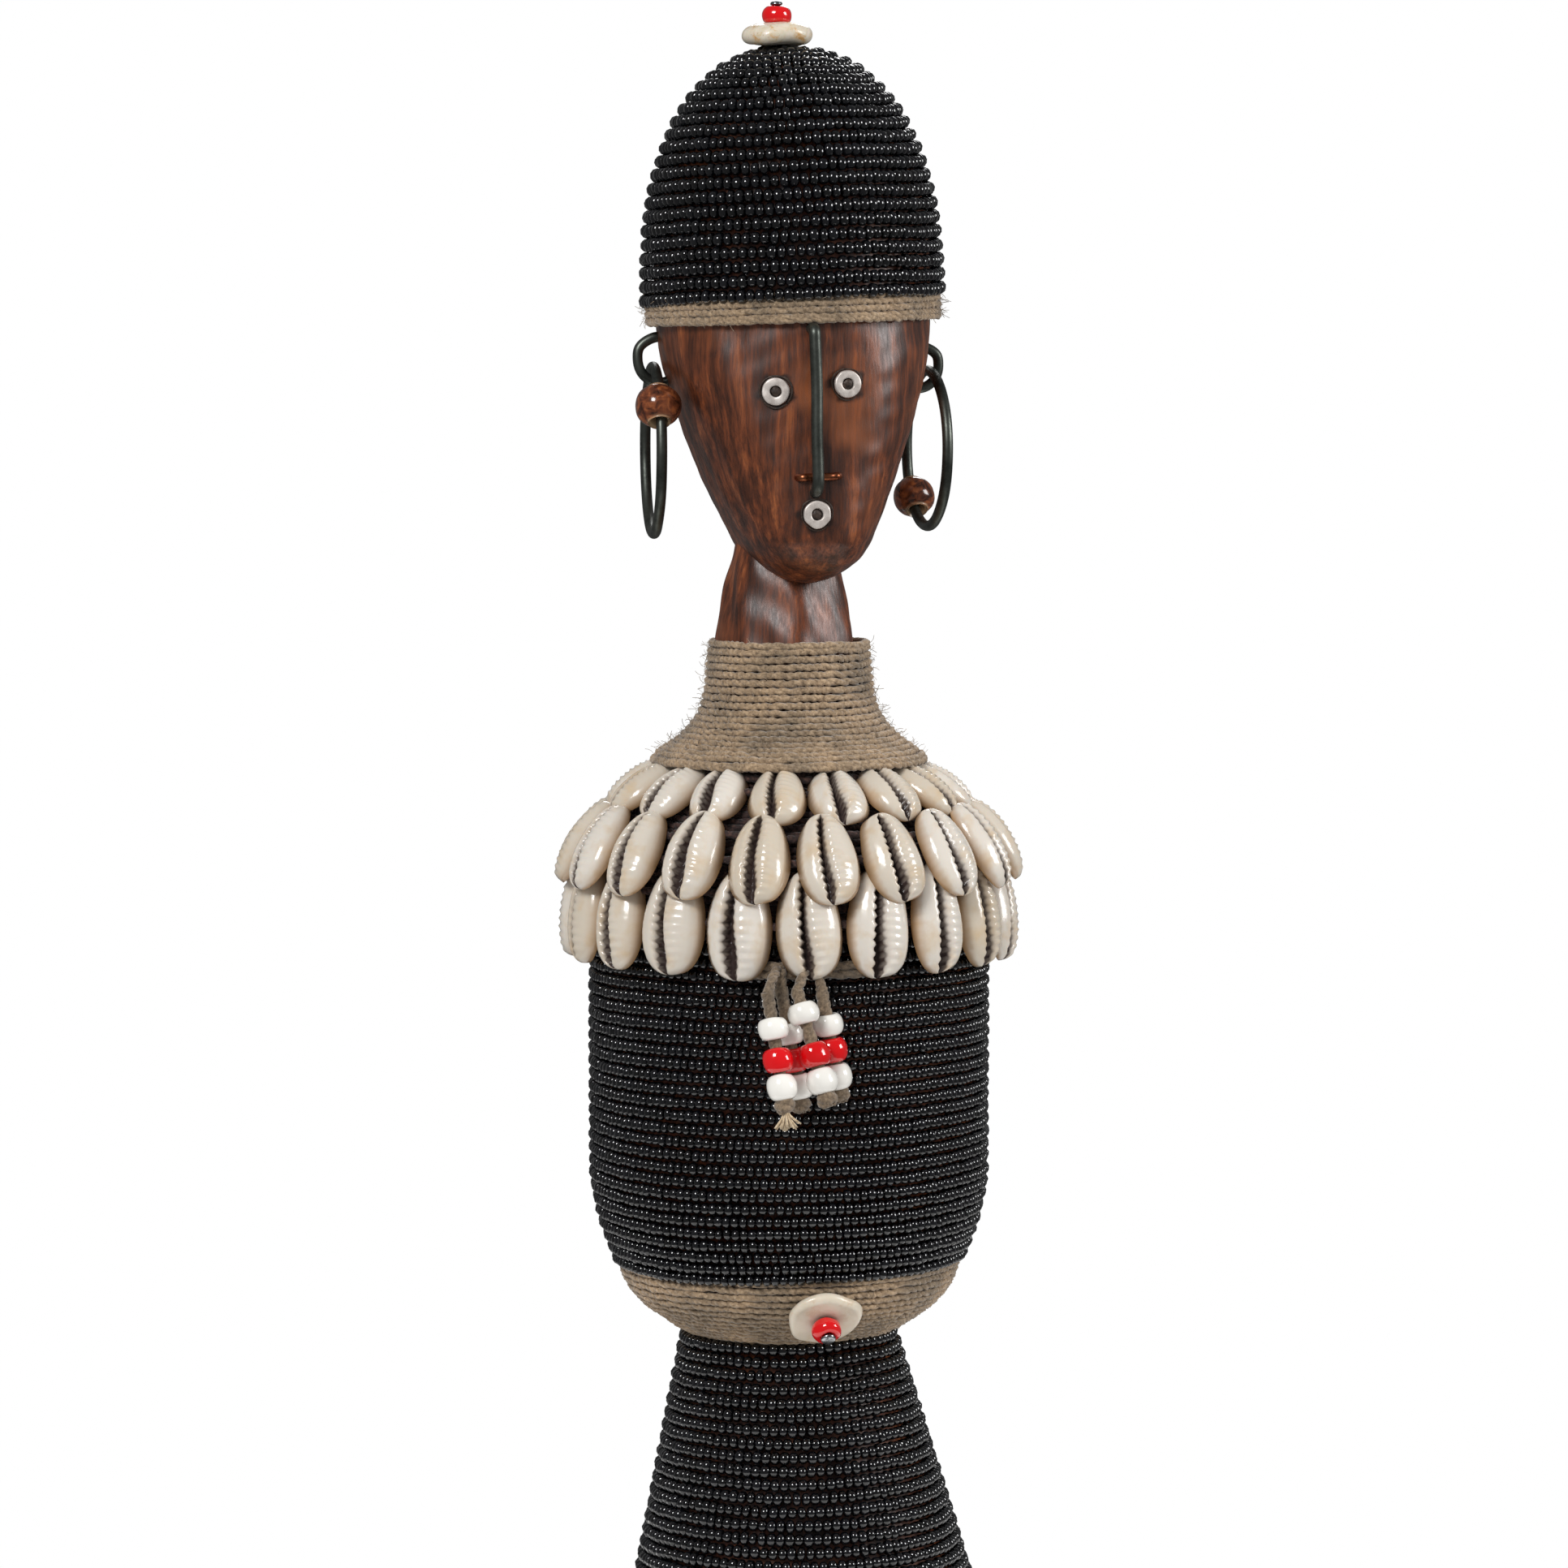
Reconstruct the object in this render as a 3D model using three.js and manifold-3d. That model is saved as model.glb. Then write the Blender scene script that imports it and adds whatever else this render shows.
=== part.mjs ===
// A carved wooden doll dressed in glass beadwork, twine and cowrie shells, standing on its own flat base.
// Millimetres, +Z up, the doll faces -Y. The origin is on the body's axis at the base face.
import * as THREE from "three";
import { ConvexGeometry } from "three/addons/geometries/ConvexGeometry.js";
import { mergeVertices } from "three/addons/utils/BufferGeometryUtils.js";
import Module from "manifold-3d";

const wasm = await Module();
wasm.setup();

// ---- Clearances and stock sizes
const GAP = 0.3; // between pieces that touch
const RUN = 0.4; // between a turning piece and what it turns on
const TWINE = 1.7; // diameter of the twine in every wrapping
const AROUND = 28; // facets round the body

// ---- Carved wood, radii of the wood itself
const SKIRT_BASE_R = 41.5;
const SKIRT_HEIGHT = 90.3;
const SKIRT_SWEEP = 0.058; // sideways drift of the skirt for each mm below its top
const WAIST_R = 19.2;
const WAIST_HEIGHT = 14.3;
const BELLY_R = 33.5;
const BELLY_HEIGHT = 17.4;
const TORSO_R = 38.3;
const TORSO_HEIGHT = 52;
const SHOULDER_HEIGHT = 36;
const NECK_R = 14.6;
const NECK_HEIGHT = 20;
const THROAT_R = 9.9;
const FACE_DEPTH = 27.7; // from the head's axis to the face
const HEAD_R = 27.7; // at the brim
const SKULL_R = HEAD_R + 0.4;
const SKULL_HEIGHT = 47.2;
const HEAD_X = 2; // the head is carved a little off the body's axis
const HEAD_TILT = -1.4; // degrees, the crown leans towards -X

// ---- Coverings, thickness outside the wood
const TORSO_BEAD = 2.4;
const SKIRT_BEAD = 2.6;
const CAP_BEAD = 2.7;
const BACKING = 1.5;
const HEM_HEIGHT = 6.8;
const BRIM_HEIGHT = 5.4;
const BRIM_THICK = 2.1;

// ---- Metal and bone
const NAIL_D = 1.5;
const NAIL_HEAD_D = 2.5;
const NAIL_DEPTH = 10;
const DISC_D = 14.4;
const DISC_THICK = 4;
const RED_BEAD_D = 6;
const RED_BEAD_H = 3.1;
const EYE_D = 5.5;
const EYE_HOLE_D = 2.2;
const EYE_THICK = 1;
const NOSE_WIRE = 2.4;
const NOSTRIL_WIRE = 1.3;
const LOOP_WIRE = 2.1;
const EARRING_WIRE = 2.2;
const EAR_Y = 5;

// ---- Cord pendants
const CORD_D = 2.2;
const CORD_HOLE_D = CORD_D + 2 * RUN;

// ---- Heights that follow from the sizes above
const WAIST_Z = SKIRT_HEIGHT;
const BELLY_Z = WAIST_Z + WAIST_HEIGHT;
const TORSO_Z = BELLY_Z + BELLY_HEIGHT;
const SHOULDER_Z = TORSO_Z + TORSO_HEIGHT;
const NECK_Z = SHOULDER_Z + SHOULDER_HEIGHT;
const NECK_TOP_Z = NECK_Z + NECK_HEIGHT;
const CHIN_Z = NECK_TOP_Z + 13.2; // underside of the chin
const HEAD_PIVOT_Z = CHIN_Z + 6.8; // the head leans about this height
const BRIM_Z = CHIN_Z + 52.5;
const SKULL_Z = BRIM_Z + BRIM_HEIGHT;

const rad = THREE.MathUtils.degToRad;
const v2 = (r, z) => new THREE.Vector2(r, z);
const v3 = (x, y, z) => new THREE.Vector3(x, y, z);

// ---- Shape helpers

// A closed geometry as a manifold-3d solid.
function solid(geometry) {
  const bare = geometry.clone();
  bare.deleteAttribute("normal");
  bare.deleteAttribute("uv");
  const merged = mergeVertices(bare, 1e-4);
  const mesh = new wasm.Mesh({
    numProp: 3,
    vertProperties: merged.attributes.position.array,
    triVerts: new Uint32Array(merged.index.array),
  });
  return new wasm.Manifold(mesh);
}

function geometryOf(body) {
  const mesh = body.getMesh();
  const geometry = new THREE.BufferGeometry();
  geometry.setAttribute("position", new THREE.BufferAttribute(mesh.vertProperties, 3));
  geometry.setIndex(new THREE.BufferAttribute(mesh.triVerts, 1));
  return geometry;
}

// A turned solid about Z. The profile runs up the outside, and starts and ends on the axis.
function turned(profile, facets = AROUND) {
  const geometry = new THREE.LatheGeometry(profile.map(([r, z]) => v2(r, z)), facets);
  return geometry.rotateX(Math.PI / 2);
}

// A ring about Z between an outer outline and an inner one, each listed from bottom to top.
function turnedShell(outer, inner, facets = AROUND) {
  return turned([...outer, ...inner.toReversed(), outer[0]], facets);
}

// A ring about Z whose section has rounded corners.
function roundedRing(outerD, holeD, height, facets = 20) {
  const outer = outerD / 2;
  const hole = holeD / 2;
  const round = Math.min(height / 2, (outer - hole) / 2) * 0.9;
  const half = height / 2;
  const edge = [0, 0.5, 1].map((t) => (t * Math.PI) / 2);
  const low = edge.map((a) => [outer - round + round * Math.sin(a), -half + round - round * Math.cos(a)]);
  const high = low.map(([r, z]) => [r, -z]).toReversed();
  return turnedShell([[hole, -half], ...low, ...high], [[hole, half]], facets);
}

// A round wire along a curve.
function wire(curve, diameter, steps, sides = 6) {
  const section = new THREE.Shape();
  section.absarc(0, 0, diameter / 2, 0, 2 * Math.PI);
  const geometry = new THREE.ExtrudeGeometry(section, {
    steps,
    extrudePath: curve,
    curveSegments: sides / 2,
    bevelEnabled: false,
  });
  return geometry;
}

// A straight round rod between two points.
function rod(start, end, diameter, sides = 10) {
  const along = end.clone().sub(start);
  const geometry = new THREE.CylinderGeometry(diameter / 2, diameter / 2, along.length(), sides);
  const turn = new THREE.Quaternion().setFromUnitVectors(v3(0, 1, 0), along.clone().normalize());
  geometry.applyQuaternion(turn);
  return geometry.translate(...start.clone().add(end).multiplyScalar(0.5).toArray());
}

// Outline points from (r0, z0) to (r1, z1), placed by pairs of shares of the way.
function eased([r0, z0], [r1, z1], shares) {
  return shares.map(([fr, fz]) => [r0 + (r1 - r0) * fr, z0 + (z1 - z0) * fz]);
}

const offset = (outline, by) => outline.map(([r, z]) => [r + by, z]);

// Leans everything below the waist, so that the skirt drifts sideways as it widens.
function sweepSkirt(geometry) {
  const p = geometry.attributes.position;
  for (let i = 0; i < p.count; i++) {
    p.setX(i, p.getX(i) + SKIRT_SWEEP * Math.max(0, WAIST_Z - p.getZ(i)));
  }
  return geometry;
}

// ---- Materials: colour, roughness, metalness
const finish = (color, roughness, metalness) =>
  new THREE.MeshStandardMaterial({ color, roughness, metalness });
const wood = finish("#4a2114", 0.55, 0);
const blackBead = finish("#14141a", 0.15, 0);
const redBead = finish("#b3151c", 0.2, 0);
const whiteBead = finish("#e6e2da", 0.25, 0);
const woodBead = finish("#5e3320", 0.3, 0);
const twine = finish("#8f7d66", 0.95, 0);
const darkCord = finish("#3a2620", 0.9, 0);
const shell = finish("#e8dccb", 0.25, 0);
const bone = finish("#e3d8c2", 0.4, 0);
const iron = finish("#3f4441", 0.5, 0.8);
const steel = finish("#8c8f93", 0.35, 1);
const aluminium = finish("#b9bcbe", 0.45, 1);
const copper = finish("#9a5a36", 0.4, 1);

const doll = new THREE.Group();
const head = new THREE.Group();
head.position.set(HEAD_X, 0, HEAD_PIVOT_Z);
head.rotation.y = rad(HEAD_TILT);
head.updateMatrix();
doll.add(head);

function add(group, name, geometry, material) {
  const mesh = new THREE.Mesh(geometry, material);
  mesh.name = name;
  group.add(mesh);
  return mesh;
}

// Head pieces are drawn at full height, then hung in the leaning head group.
const inHead = (geometry) => geometry.translate(0, 0, -HEAD_PIVOT_Z);
const headToBody = (geometry) => inHead(geometry).applyMatrix4(head.matrix);
const headPoint = (x, y, z) => v3(x, y, z - HEAD_PIVOT_Z).applyMatrix4(head.matrix);

// ---- Carved figure

const SKIRT_LINE = [[SKIRT_BASE_R, 0], [WAIST_R, WAIST_Z]];
const WAIST_LINE = eased([WAIST_R, WAIST_Z], [BELLY_R, BELLY_Z],
  [[0, 0], [0.13, 0.08], [0.42, 0.26], [0.73, 0.5], [0.91, 0.75], [1, 1]]);
const BELLY_LINE = eased([BELLY_R, BELLY_Z], [TORSO_R, TORSO_Z], [[0, 0], [0.66, 0.5], [1, 1]]);
const SHOULDER_LINE = eased([TORSO_R, SHOULDER_Z], [NECK_R, NECK_Z],
  [[0, 0], [0.042, 0.28], [0.18, 0.51], [0.39, 0.67], [0.645, 0.79], [0.886, 0.88], [1, 1]]);

// Head sections from the chin up: height above the chin, half width, depth to the face and to the
// back, and the squareness of the outline.
const FACE = [
  [0, 3.5, FACE_DEPTH - 13.7, 7, 2.4],
  [1, 6.6, FACE_DEPTH - 9.7, 8.5, 2.5],
  [3.9, 10.1, FACE_DEPTH - 4.2, 11.5, 2.7],
  [7.5, 12.6, FACE_DEPTH - 1, 13.5, 2.8],
  [11.2, HEAD_R * 0.52, FACE_DEPTH + 0.1, 16, 2.8],
  [18.5, HEAD_R * 0.64, FACE_DEPTH + 0.2, 20, 2.8],
  [25.8, HEAD_R * 0.737, FACE_DEPTH + 0.1, 23, 2.8],
  [33.1, HEAD_R * 0.83, FACE_DEPTH, 25, 2.7],
  [43.8, HEAD_R - 1.4, FACE_DEPTH, HEAD_R - 0.7, 2.4],
  [51.5, HEAD_R, HEAD_R, HEAD_R, 2.05],
];
const CROWN_N = 2.3;
const CROWN_STEPS = [0, 0.25, 0.48, 0.68, 0.84, 0.94];

// Radius shares and height shares up a dome.
const dome = (radius, height) =>
  CROWN_STEPS.map((t) => [radius * (1 - t ** CROWN_N) ** (1 / CROWN_N), SKULL_Z + height * t]);

function ovalPoint(angle, halfWidth, front, back, n) {
  const c = Math.cos(angle);
  const s = Math.sin(angle);
  const depth = s < 0 ? front : back;
  const x = Math.sign(c) * halfWidth * Math.abs(c) ** (2 / n);
  const y = Math.sign(s) * depth * Math.abs(s) ** (2 / n);
  return [x, y];
}

function loft(sections) {
  const positions = [];
  const faces = [];
  for (const [z, halfWidth, front, back, n] of sections) {
    for (let i = 0; i < AROUND; i++) {
      const angle = (2 * Math.PI * i) / AROUND;
      positions.push(...ovalPoint(angle, halfWidth, front, back, n), z);
    }
  }
  const top = sections.length - 1;
  for (let k = 0; k < top; k++) {
    for (let i = 0; i < AROUND; i++) {
      const a = k * AROUND + i;
      const b = k * AROUND + ((i + 1) % AROUND);
      faces.push(a, b, b + AROUND, a, b + AROUND, a + AROUND);
    }
  }
  const low = positions.length / 3;
  positions.push(0, 0, sections[0][0], 0, 0, sections[top][0]);
  for (let i = 0; i < AROUND; i++) {
    const j = (i + 1) % AROUND;
    faces.push(low, j, i, low + 1, top * AROUND + i, top * AROUND + j);
  }
  const geometry = new THREE.BufferGeometry();
  geometry.setAttribute("position", new THREE.Float32BufferAttribute(positions, 3));
  return geometry.setIndex(faces);
}

function headWood() {
  const face = FACE.map(([h, ...rest]) => [CHIN_Z + h, ...rest]);
  const underBrim = [SKULL_Z + GAP, HEAD_R, HEAD_R, HEAD_R, 2];
  const skull = dome(SKULL_R, SKULL_HEIGHT).slice(1).map(([r, z]) => [z, r, r, r, 2]);
  return loft([...face, underBrim, ...skull]);
}

function bodyWood() {
  const lower = [[0, 0], ...SKIRT_LINE, ...WAIST_LINE.slice(1), ...BELLY_LINE.slice(1), ...SHOULDER_LINE];
  const throat = [[THROAT_R + 1.8, CHIN_Z + 1.7], [THROAT_R, CHIN_Z + 9], [0, CHIN_Z + 12]];
  const neck = [[NECK_R, NECK_TOP_Z], ...throat];
  return sweepSkirt(turned([...lower, ...neck]));
}

// Half width of the head's outline at a height and a depth, on straight lines between sections.
function faceShare(z) {
  const h = z - CHIN_Z;
  const k = Math.max(1, FACE.findIndex((row) => row[0] >= h));
  const t = (h - FACE[k - 1][0]) / (FACE[k][0] - FACE[k - 1][0]);
  return FACE[k].map((value, i) => FACE[k - 1][i] + (value - FACE[k - 1][i]) * t);
}
function faceY(x, z) {
  const [, halfWidth, front, , n] = faceShare(z);
  return -front * (1 - Math.abs(x / halfWidth) ** n) ** (1 / n);
}

const holes = []; // solids cut from the wood

// ---- Face: rings, pins and wires, all in the head's frame

// A ring held by a domed pin that stands in the wood.
function studdedRing(name, pinName, x, z) {
  const back = faceY(x, z) - GAP;
  const lean = Math.atan2(faceY(x + 2, z) - faceY(x - 2, z), 4);
  const place = (g) => g.rotateX(Math.PI / 2).rotateZ(lean).translate(x, back, z);
  const ring = place(roundedRing(EYE_D, EYE_HOLE_D, EYE_THICK, 12).translate(0, 0, EYE_THICK / 2 + 0.15));
  const pinR = EYE_HOLE_D / 2 - GAP;
  const pin = place(turned([
    [0, -3.5], [pinR, -3.5], [pinR, EYE_THICK], [pinR * 0.6, EYE_THICK + 0.6], [0, EYE_THICK + 0.8],
  ], 8));
  add(head, name, inHead(ring), aluminium);
  add(head, pinName, inHead(pin), wood);
  const clearR = pinR + GAP;
  const bore = place(turned([[0, -4], [clearR, -4], [clearR, 1], [0, 1]], 8));
  holes.push(headToBody(bore));
}
studdedRing("eye_ring_left", "eye_pin_left", -9.1, CHIN_Z + 38.9);
studdedRing("eye_ring_right", "eye_pin_right", 5.2, CHIN_Z + 40);
studdedRing("mouth_ring", "mouth_pin", -1.6, CHIN_Z + 14.3);

// A wire staple: its legs turn into the wood at both ends.
function staple(group, name, points, diameter, steps, material) {
  const curve = new THREE.CatmullRomCurve3(points, false, "centripetal");
  add(group, name, inHead(wire(curve, diameter, steps)), material);
  holes.push(headToBody(wire(curve, diameter + 2 * GAP, steps)));
}
const NOSE_X = -1.7;
const NOSTRIL_X = -1;
const NOSE_Y = -(FACE_DEPTH + GAP + NOSTRIL_WIRE + GAP + NOSE_WIRE / 2 + 0.25);
const NOSE_TOP_Z = BRIM_Z - GAP - NOSE_WIRE / 2 - 0.3;
const NOSE_LOW_Z = CHIN_Z + 18.6;
staple(head, "nose_wire", [
  v3(NOSE_X, -FACE_DEPTH + 5, NOSE_TOP_Z - 0.3), v3(NOSE_X, -FACE_DEPTH, NOSE_TOP_Z - 0.1),
  v3(NOSE_X, NOSE_Y + 0.5, NOSE_TOP_Z - 0.5), v3(NOSE_X, NOSE_Y, NOSE_TOP_Z - 3),
  v3(NOSE_X, NOSE_Y, NOSE_LOW_Z + 5), v3(NOSE_X, NOSE_Y + 0.5, NOSE_LOW_Z + 1.5),
  v3(NOSE_X, -FACE_DEPTH, NOSE_LOW_Z), v3(NOSE_X, -FACE_DEPTH + 5, NOSE_LOW_Z),
], NOSE_WIRE, 16, iron);
const NOSTRIL_Z = CHIN_Z + 21.7;
const NOSTRIL_Y = -FACE_DEPTH - GAP - NOSTRIL_WIRE / 2;
staple(head, "nostril_pin", [
  v3(NOSTRIL_X - 5, -FACE_DEPTH + 3, NOSTRIL_Z), v3(NOSTRIL_X - 4.4, -FACE_DEPTH + 0.3, NOSTRIL_Z),
  v3(NOSTRIL_X - 3, NOSTRIL_Y, NOSTRIL_Z), v3(NOSTRIL_X, NOSTRIL_Y - 0.1, NOSTRIL_Z),
  v3(NOSTRIL_X + 3, NOSTRIL_Y, NOSTRIL_Z), v3(NOSTRIL_X + 4.4, -FACE_DEPTH + 0.3, NOSTRIL_Z),
  v3(NOSTRIL_X + 5, -FACE_DEPTH + 3, NOSTRIL_Z),
], NOSTRIL_WIRE, 12, copper);

// ---- Ears: a wire loop set in each side of the head, a ring hung in it, a wooden bead on the ring

const LOOP_X = HEAD_R - 1.1; // loop centre from the head's axis

class Arc extends THREE.Curve {
  constructor(point, start, sweep) {
    super();
    Object.assign(this, { point, start, sweep });
  }
  getPoint(t, target = v3(0, 0, 0)) {
    return target.copy(this.point(this.start + this.sweep * t));
  }
}

function ringGeometry(radius, diameter, steps) {
  const section = [];
  const sides = 6;
  for (let i = 0; i <= sides; i++) {
    const a = (2 * Math.PI * i) / sides;
    section.push([radius + (diameter / 2) * Math.cos(a), (diameter / 2) * Math.sin(a)]);
  }
  section[sides] = section[0];
  return turned(section, steps);
}

// A barrel bead with a straight hole along Z.
function barrel(diameter, length, hole, facets = 12) {
  return roundedRing(diameter, hole, length, facets);
}

// above is the loop centre's height above the chin. hang is how far outside the loop's centre the ring
// hangs, and splay the degrees by which its front edge stands out. A bead is pushed out by its play.
const ears = [
  { side: "left", sign: -1, above: 45.3, loopD: 11.4, ringD: 36, hang: 1.6, splay: 4,
    bead: { d: 9.3, length: 8.3, fromTop: 56 } },
  { side: "right", sign: 1, above: 42.4, loopD: 10.8, ringD: 34, hang: 2, splay: 3,
    bead: { d: 8.5, length: 7.6, fromTop: -131 } },
];
const BEAD_PLAY = 0.4;
for (const { side, sign, above, loopD, ringD, hang, splay, bead } of ears) {
  const loopR = (loopD - LOOP_WIRE) / 2;
  const ringR = (ringD - EARRING_WIRE) / 2;
  const centre = v3(sign * LOOP_X, EAR_Y, CHIN_Z + above);
  const onLoop = (a) => v3(centre.x + sign * loopR * Math.cos(a), centre.y, centre.z + loopR * Math.sin(a));
  const reach = rad(135);
  const visible = new Arc(onLoop, -reach, 2 * reach);
  add(head, "ear_loop_" + side, inHead(wire(visible, LOOP_WIRE, 12)), iron);
  const bore = new Arc(onLoop, -reach - 0.12, 2 * reach + 0.24);
  holes.push(headToBody(wire(bore, LOOP_WIRE + 2 * GAP, 12)));

  // The ring rests on the bottom of the loop and hangs straight down from it.
  const drop = Math.sqrt(loopR ** 2 - hang ** 2);
  const rest = headPoint(centre.x + sign * hang, EAR_Y, centre.z - drop);
  const ringTop = rest.z + ((LOOP_WIRE + EARRING_WIRE) / 2 + 2 * GAP) * (loopR / drop);
  const earring = new THREE.Group();
  earring.position.set(rest.x, rest.y, ringTop - ringR);
  earring.rotation.z = sign * rad(splay);
  doll.add(earring);
  const ring = ringGeometry(ringR, EARRING_WIRE, 32).rotateY(Math.PI / 2);
  add(earring, "earring_ring_" + side, ring, iron);

  // The bead is threaded on the ring: its hole lies along the chord under it.
  const hole = EARRING_WIRE + 2 * (RUN + BEAD_PLAY);
  const sagitta = bead.length ** 2 / (16 * ringR);
  const body = barrel(bead.d, bead.length, hole).rotateX(Math.PI / 2).translate(0, 0, ringR - sagitta);
  body.rotateX(rad(bead.fromTop)).translate(sign * BEAD_PLAY, 0, 0);
  add(earring, "earring_bead_" + side, body, woodBead);
}

// ---- Cap, brim and crown finial, in the head's frame

const NAIL_R = NAIL_D / 2;
const skullLine = offset(dome(SKULL_R, SKULL_HEIGHT), GAP);
const capLine = dome(SKULL_R + GAP + CAP_BEAD, SKULL_HEIGHT + GAP + CAP_BEAD);
const CAP_TOP_Z = SKULL_Z + SKULL_HEIGHT + GAP + CAP_BEAD;
const FINIAL_X = -1.9;

function capBeadwork() {
  const inner = [...skullLine.map(([r, z]) => [r, z + (r < SKULL_R ? 0.6 : 0)]), [0, CAP_TOP_Z - CAP_BEAD]];
  inner[0][1] = SKULL_Z;
  const outer = [...capLine, [0, CAP_TOP_Z]];
  return turned([...inner.toReversed(), ...outer]);
}
const nailBore = (x, y, low, high, clear) => {
  const r = NAIL_R + clear;
  return turned([[0, low], [r, low], [r, high], [0, high]], 8).translate(x, y, 0);
};
const discZ = CAP_TOP_Z + GAP + DISC_THICK / 2;
const redZ = discZ + DISC_THICK / 2 + GAP + RED_BEAD_H / 2;
const nailTop = redZ + RED_BEAD_H / 2 + GAP;

// A nail with its head at the top, drawn along Z with the underside of the head at zero.
function nail(length) {
  const headR = NAIL_HEAD_D / 2;
  return turned([[0, -length], [NAIL_R * 0.4, -length], [NAIL_R, 2 - length], [NAIL_R, 0], [headR, 0],
    [headR, 0.4], [headR * 0.7, 0.75], [0, 0.85]], 8);
}
const discHoleD = NAIL_D + 2 * RUN;
const cap = solid(capBeadwork()).subtract(solid(nailBore(FINIAL_X, 0, CAP_TOP_Z - 9, CAP_TOP_Z + 1, GAP)));
add(head, "cap_beadwork", inHead(geometryOf(cap)), blackBead);
const finialLength = nailTop - (CAP_TOP_Z - NAIL_DEPTH);
add(head, "finial_nail", inHead(nail(finialLength).translate(FINIAL_X, 0, nailTop)), steel);
const finialDisc = roundedRing(DISC_D, discHoleD, DISC_THICK).translate(FINIAL_X, 0, discZ);
add(head, "finial_disc", inHead(finialDisc), bone);
const finialBead = roundedRing(RED_BEAD_D, discHoleD, RED_BEAD_H, 12).translate(FINIAL_X, 0, redZ);
add(head, "finial_bead", inHead(finialBead), redBead);
holes.push(headToBody(nailBore(FINIAL_X, 0, CAP_TOP_Z - NAIL_DEPTH - GAP, CAP_TOP_Z, GAP)));

const brimR = HEAD_R + GAP;
add(head, "brim_twine", inHead(turnedShell(
  [[brimR, BRIM_Z], [brimR + BRIM_THICK, BRIM_Z + 1], [brimR + BRIM_THICK, SKULL_Z - 1],
    [brimR + 0.3, SKULL_Z - GAP]],
  [[brimR, SKULL_Z - GAP]],
)), twine);

// ---- Body coverings

// A layer of given thickness over an outline of the wood.
const layer = (outline, thickness) => turnedShell(offset(outline, GAP + thickness), offset(outline, GAP));

const at = (outline, z) => {
  const k = Math.max(1, outline.findIndex((p) => p[1] >= z));
  const [[r0, z0], [r1, z1]] = [outline[k - 1], outline[k]];
  return [r0 + ((r1 - r0) * (z - z0)) / (z1 - z0), z];
};
const HEM_TOP = HEM_HEIGHT + 1.5;
const hemLine = [at(SKIRT_LINE, 1.5), at(SKIRT_LINE, HEM_TOP)];
add(doll, "hem_twine", sweepSkirt(layer(hemLine, TWINE)), twine);
const skirtLine = [at(SKIRT_LINE, HEM_TOP + GAP), at(SKIRT_LINE, SKIRT_HEIGHT - GAP / 2)];
add(doll, "skirt_beadwork", sweepSkirt(layer(skirtLine, SKIRT_BEAD)), blackBead);
const waistLine = [
  at(WAIST_LINE, WAIST_Z + GAP / 2), ...WAIST_LINE.slice(1, -1), at(WAIST_LINE, BELLY_Z - GAP / 2),
];
const torsoTop = SHOULDER_Z - 1;
const torsoLine = [at(BELLY_LINE, BELLY_Z + GAP / 2), ...BELLY_LINE.slice(1), [TORSO_R, torsoTop]];
add(doll, "torso_beadwork", layer(torsoLine, TORSO_BEAD), blackBead);

const backingLine = [[TORSO_R, torsoTop + GAP], ...SHOULDER_LINE.slice(1, -1)];
add(doll, "cowrie_backing", layer(backingLine, BACKING), darkCord);

// The collar twine wraps the neck and spreads over the top of the shells.
const collarLow = NECK_Z - 2.9;
const COLLAR_HEIGHT = 23.4;
const collarOuter = eased([NECK_R + 13.7, collarLow], [NECK_R + 2, collarLow + COLLAR_HEIGHT],
  [[0, 0], [0.08, 0.06], [0.3, 0.13], [0.51, 0.21], [0.79, 0.38], [0.91, 0.55], [0.94, 0.72], [1, 1]]);
const collarInner = [[NECK_R + GAP + 0.2, NECK_Z + GAP], [NECK_R + GAP + 0.2, collarLow + COLLAR_HEIGHT]];
add(doll, "collar_twine", turnedShell([[NECK_R + 12, collarLow], ...collarOuter], collarInner), twine);

// ---- Cowrie rows: every shell is a dome on a flat back, sewn to one cord that runs under the row

// A row lies along a straight line in section, from its upper ends to its tips, as distances from
// the top edge of the torso's wood. cord is how far down it the cord runs, and front is the turn of its
// front shell in degrees.
const rows = [
  { name: "upper", count: 16, width: 11.8, thick: 4.7, top: [-14.6, 31], tip: [-2, 23], cord: 0.3,
    front: 7.2 },
  { name: "middle", count: 19, width: 12.6, thick: 4.8, top: [-2.1, 21.5], tip: [7.5, 6.3], cord: 0.25,
    front: -0.2 },
  { name: "lower", count: 19, width: 13.6, thick: 4.8, top: [1.9, 11], tip: [5.2, -8.7], cord: 0.4,
    front: -5.5 },
];

// A shell's outer form: a dome on a flat back, pointed a little towards the upper end.
function cowrie(width, length, thick) {
  const points = [v3(0, 0, length / 2), v3(0, 0, -length / 2)];
  for (const along of [-0.7, -0.2, 0.4, 0.82]) {
    const swell = Math.sqrt(1 - along ** 2);
    const halfWidth = (width / 2) * swell * (1 - 0.18 * along);
    for (const turn of [0, 60, 120, 180]) {
      const a = rad(turn);
      points.push(v3(halfWidth * Math.cos(a), -thick * swell * Math.sin(a), (length / 2) * along));
    }
  }
  return new ConvexGeometry(points);
}

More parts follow.
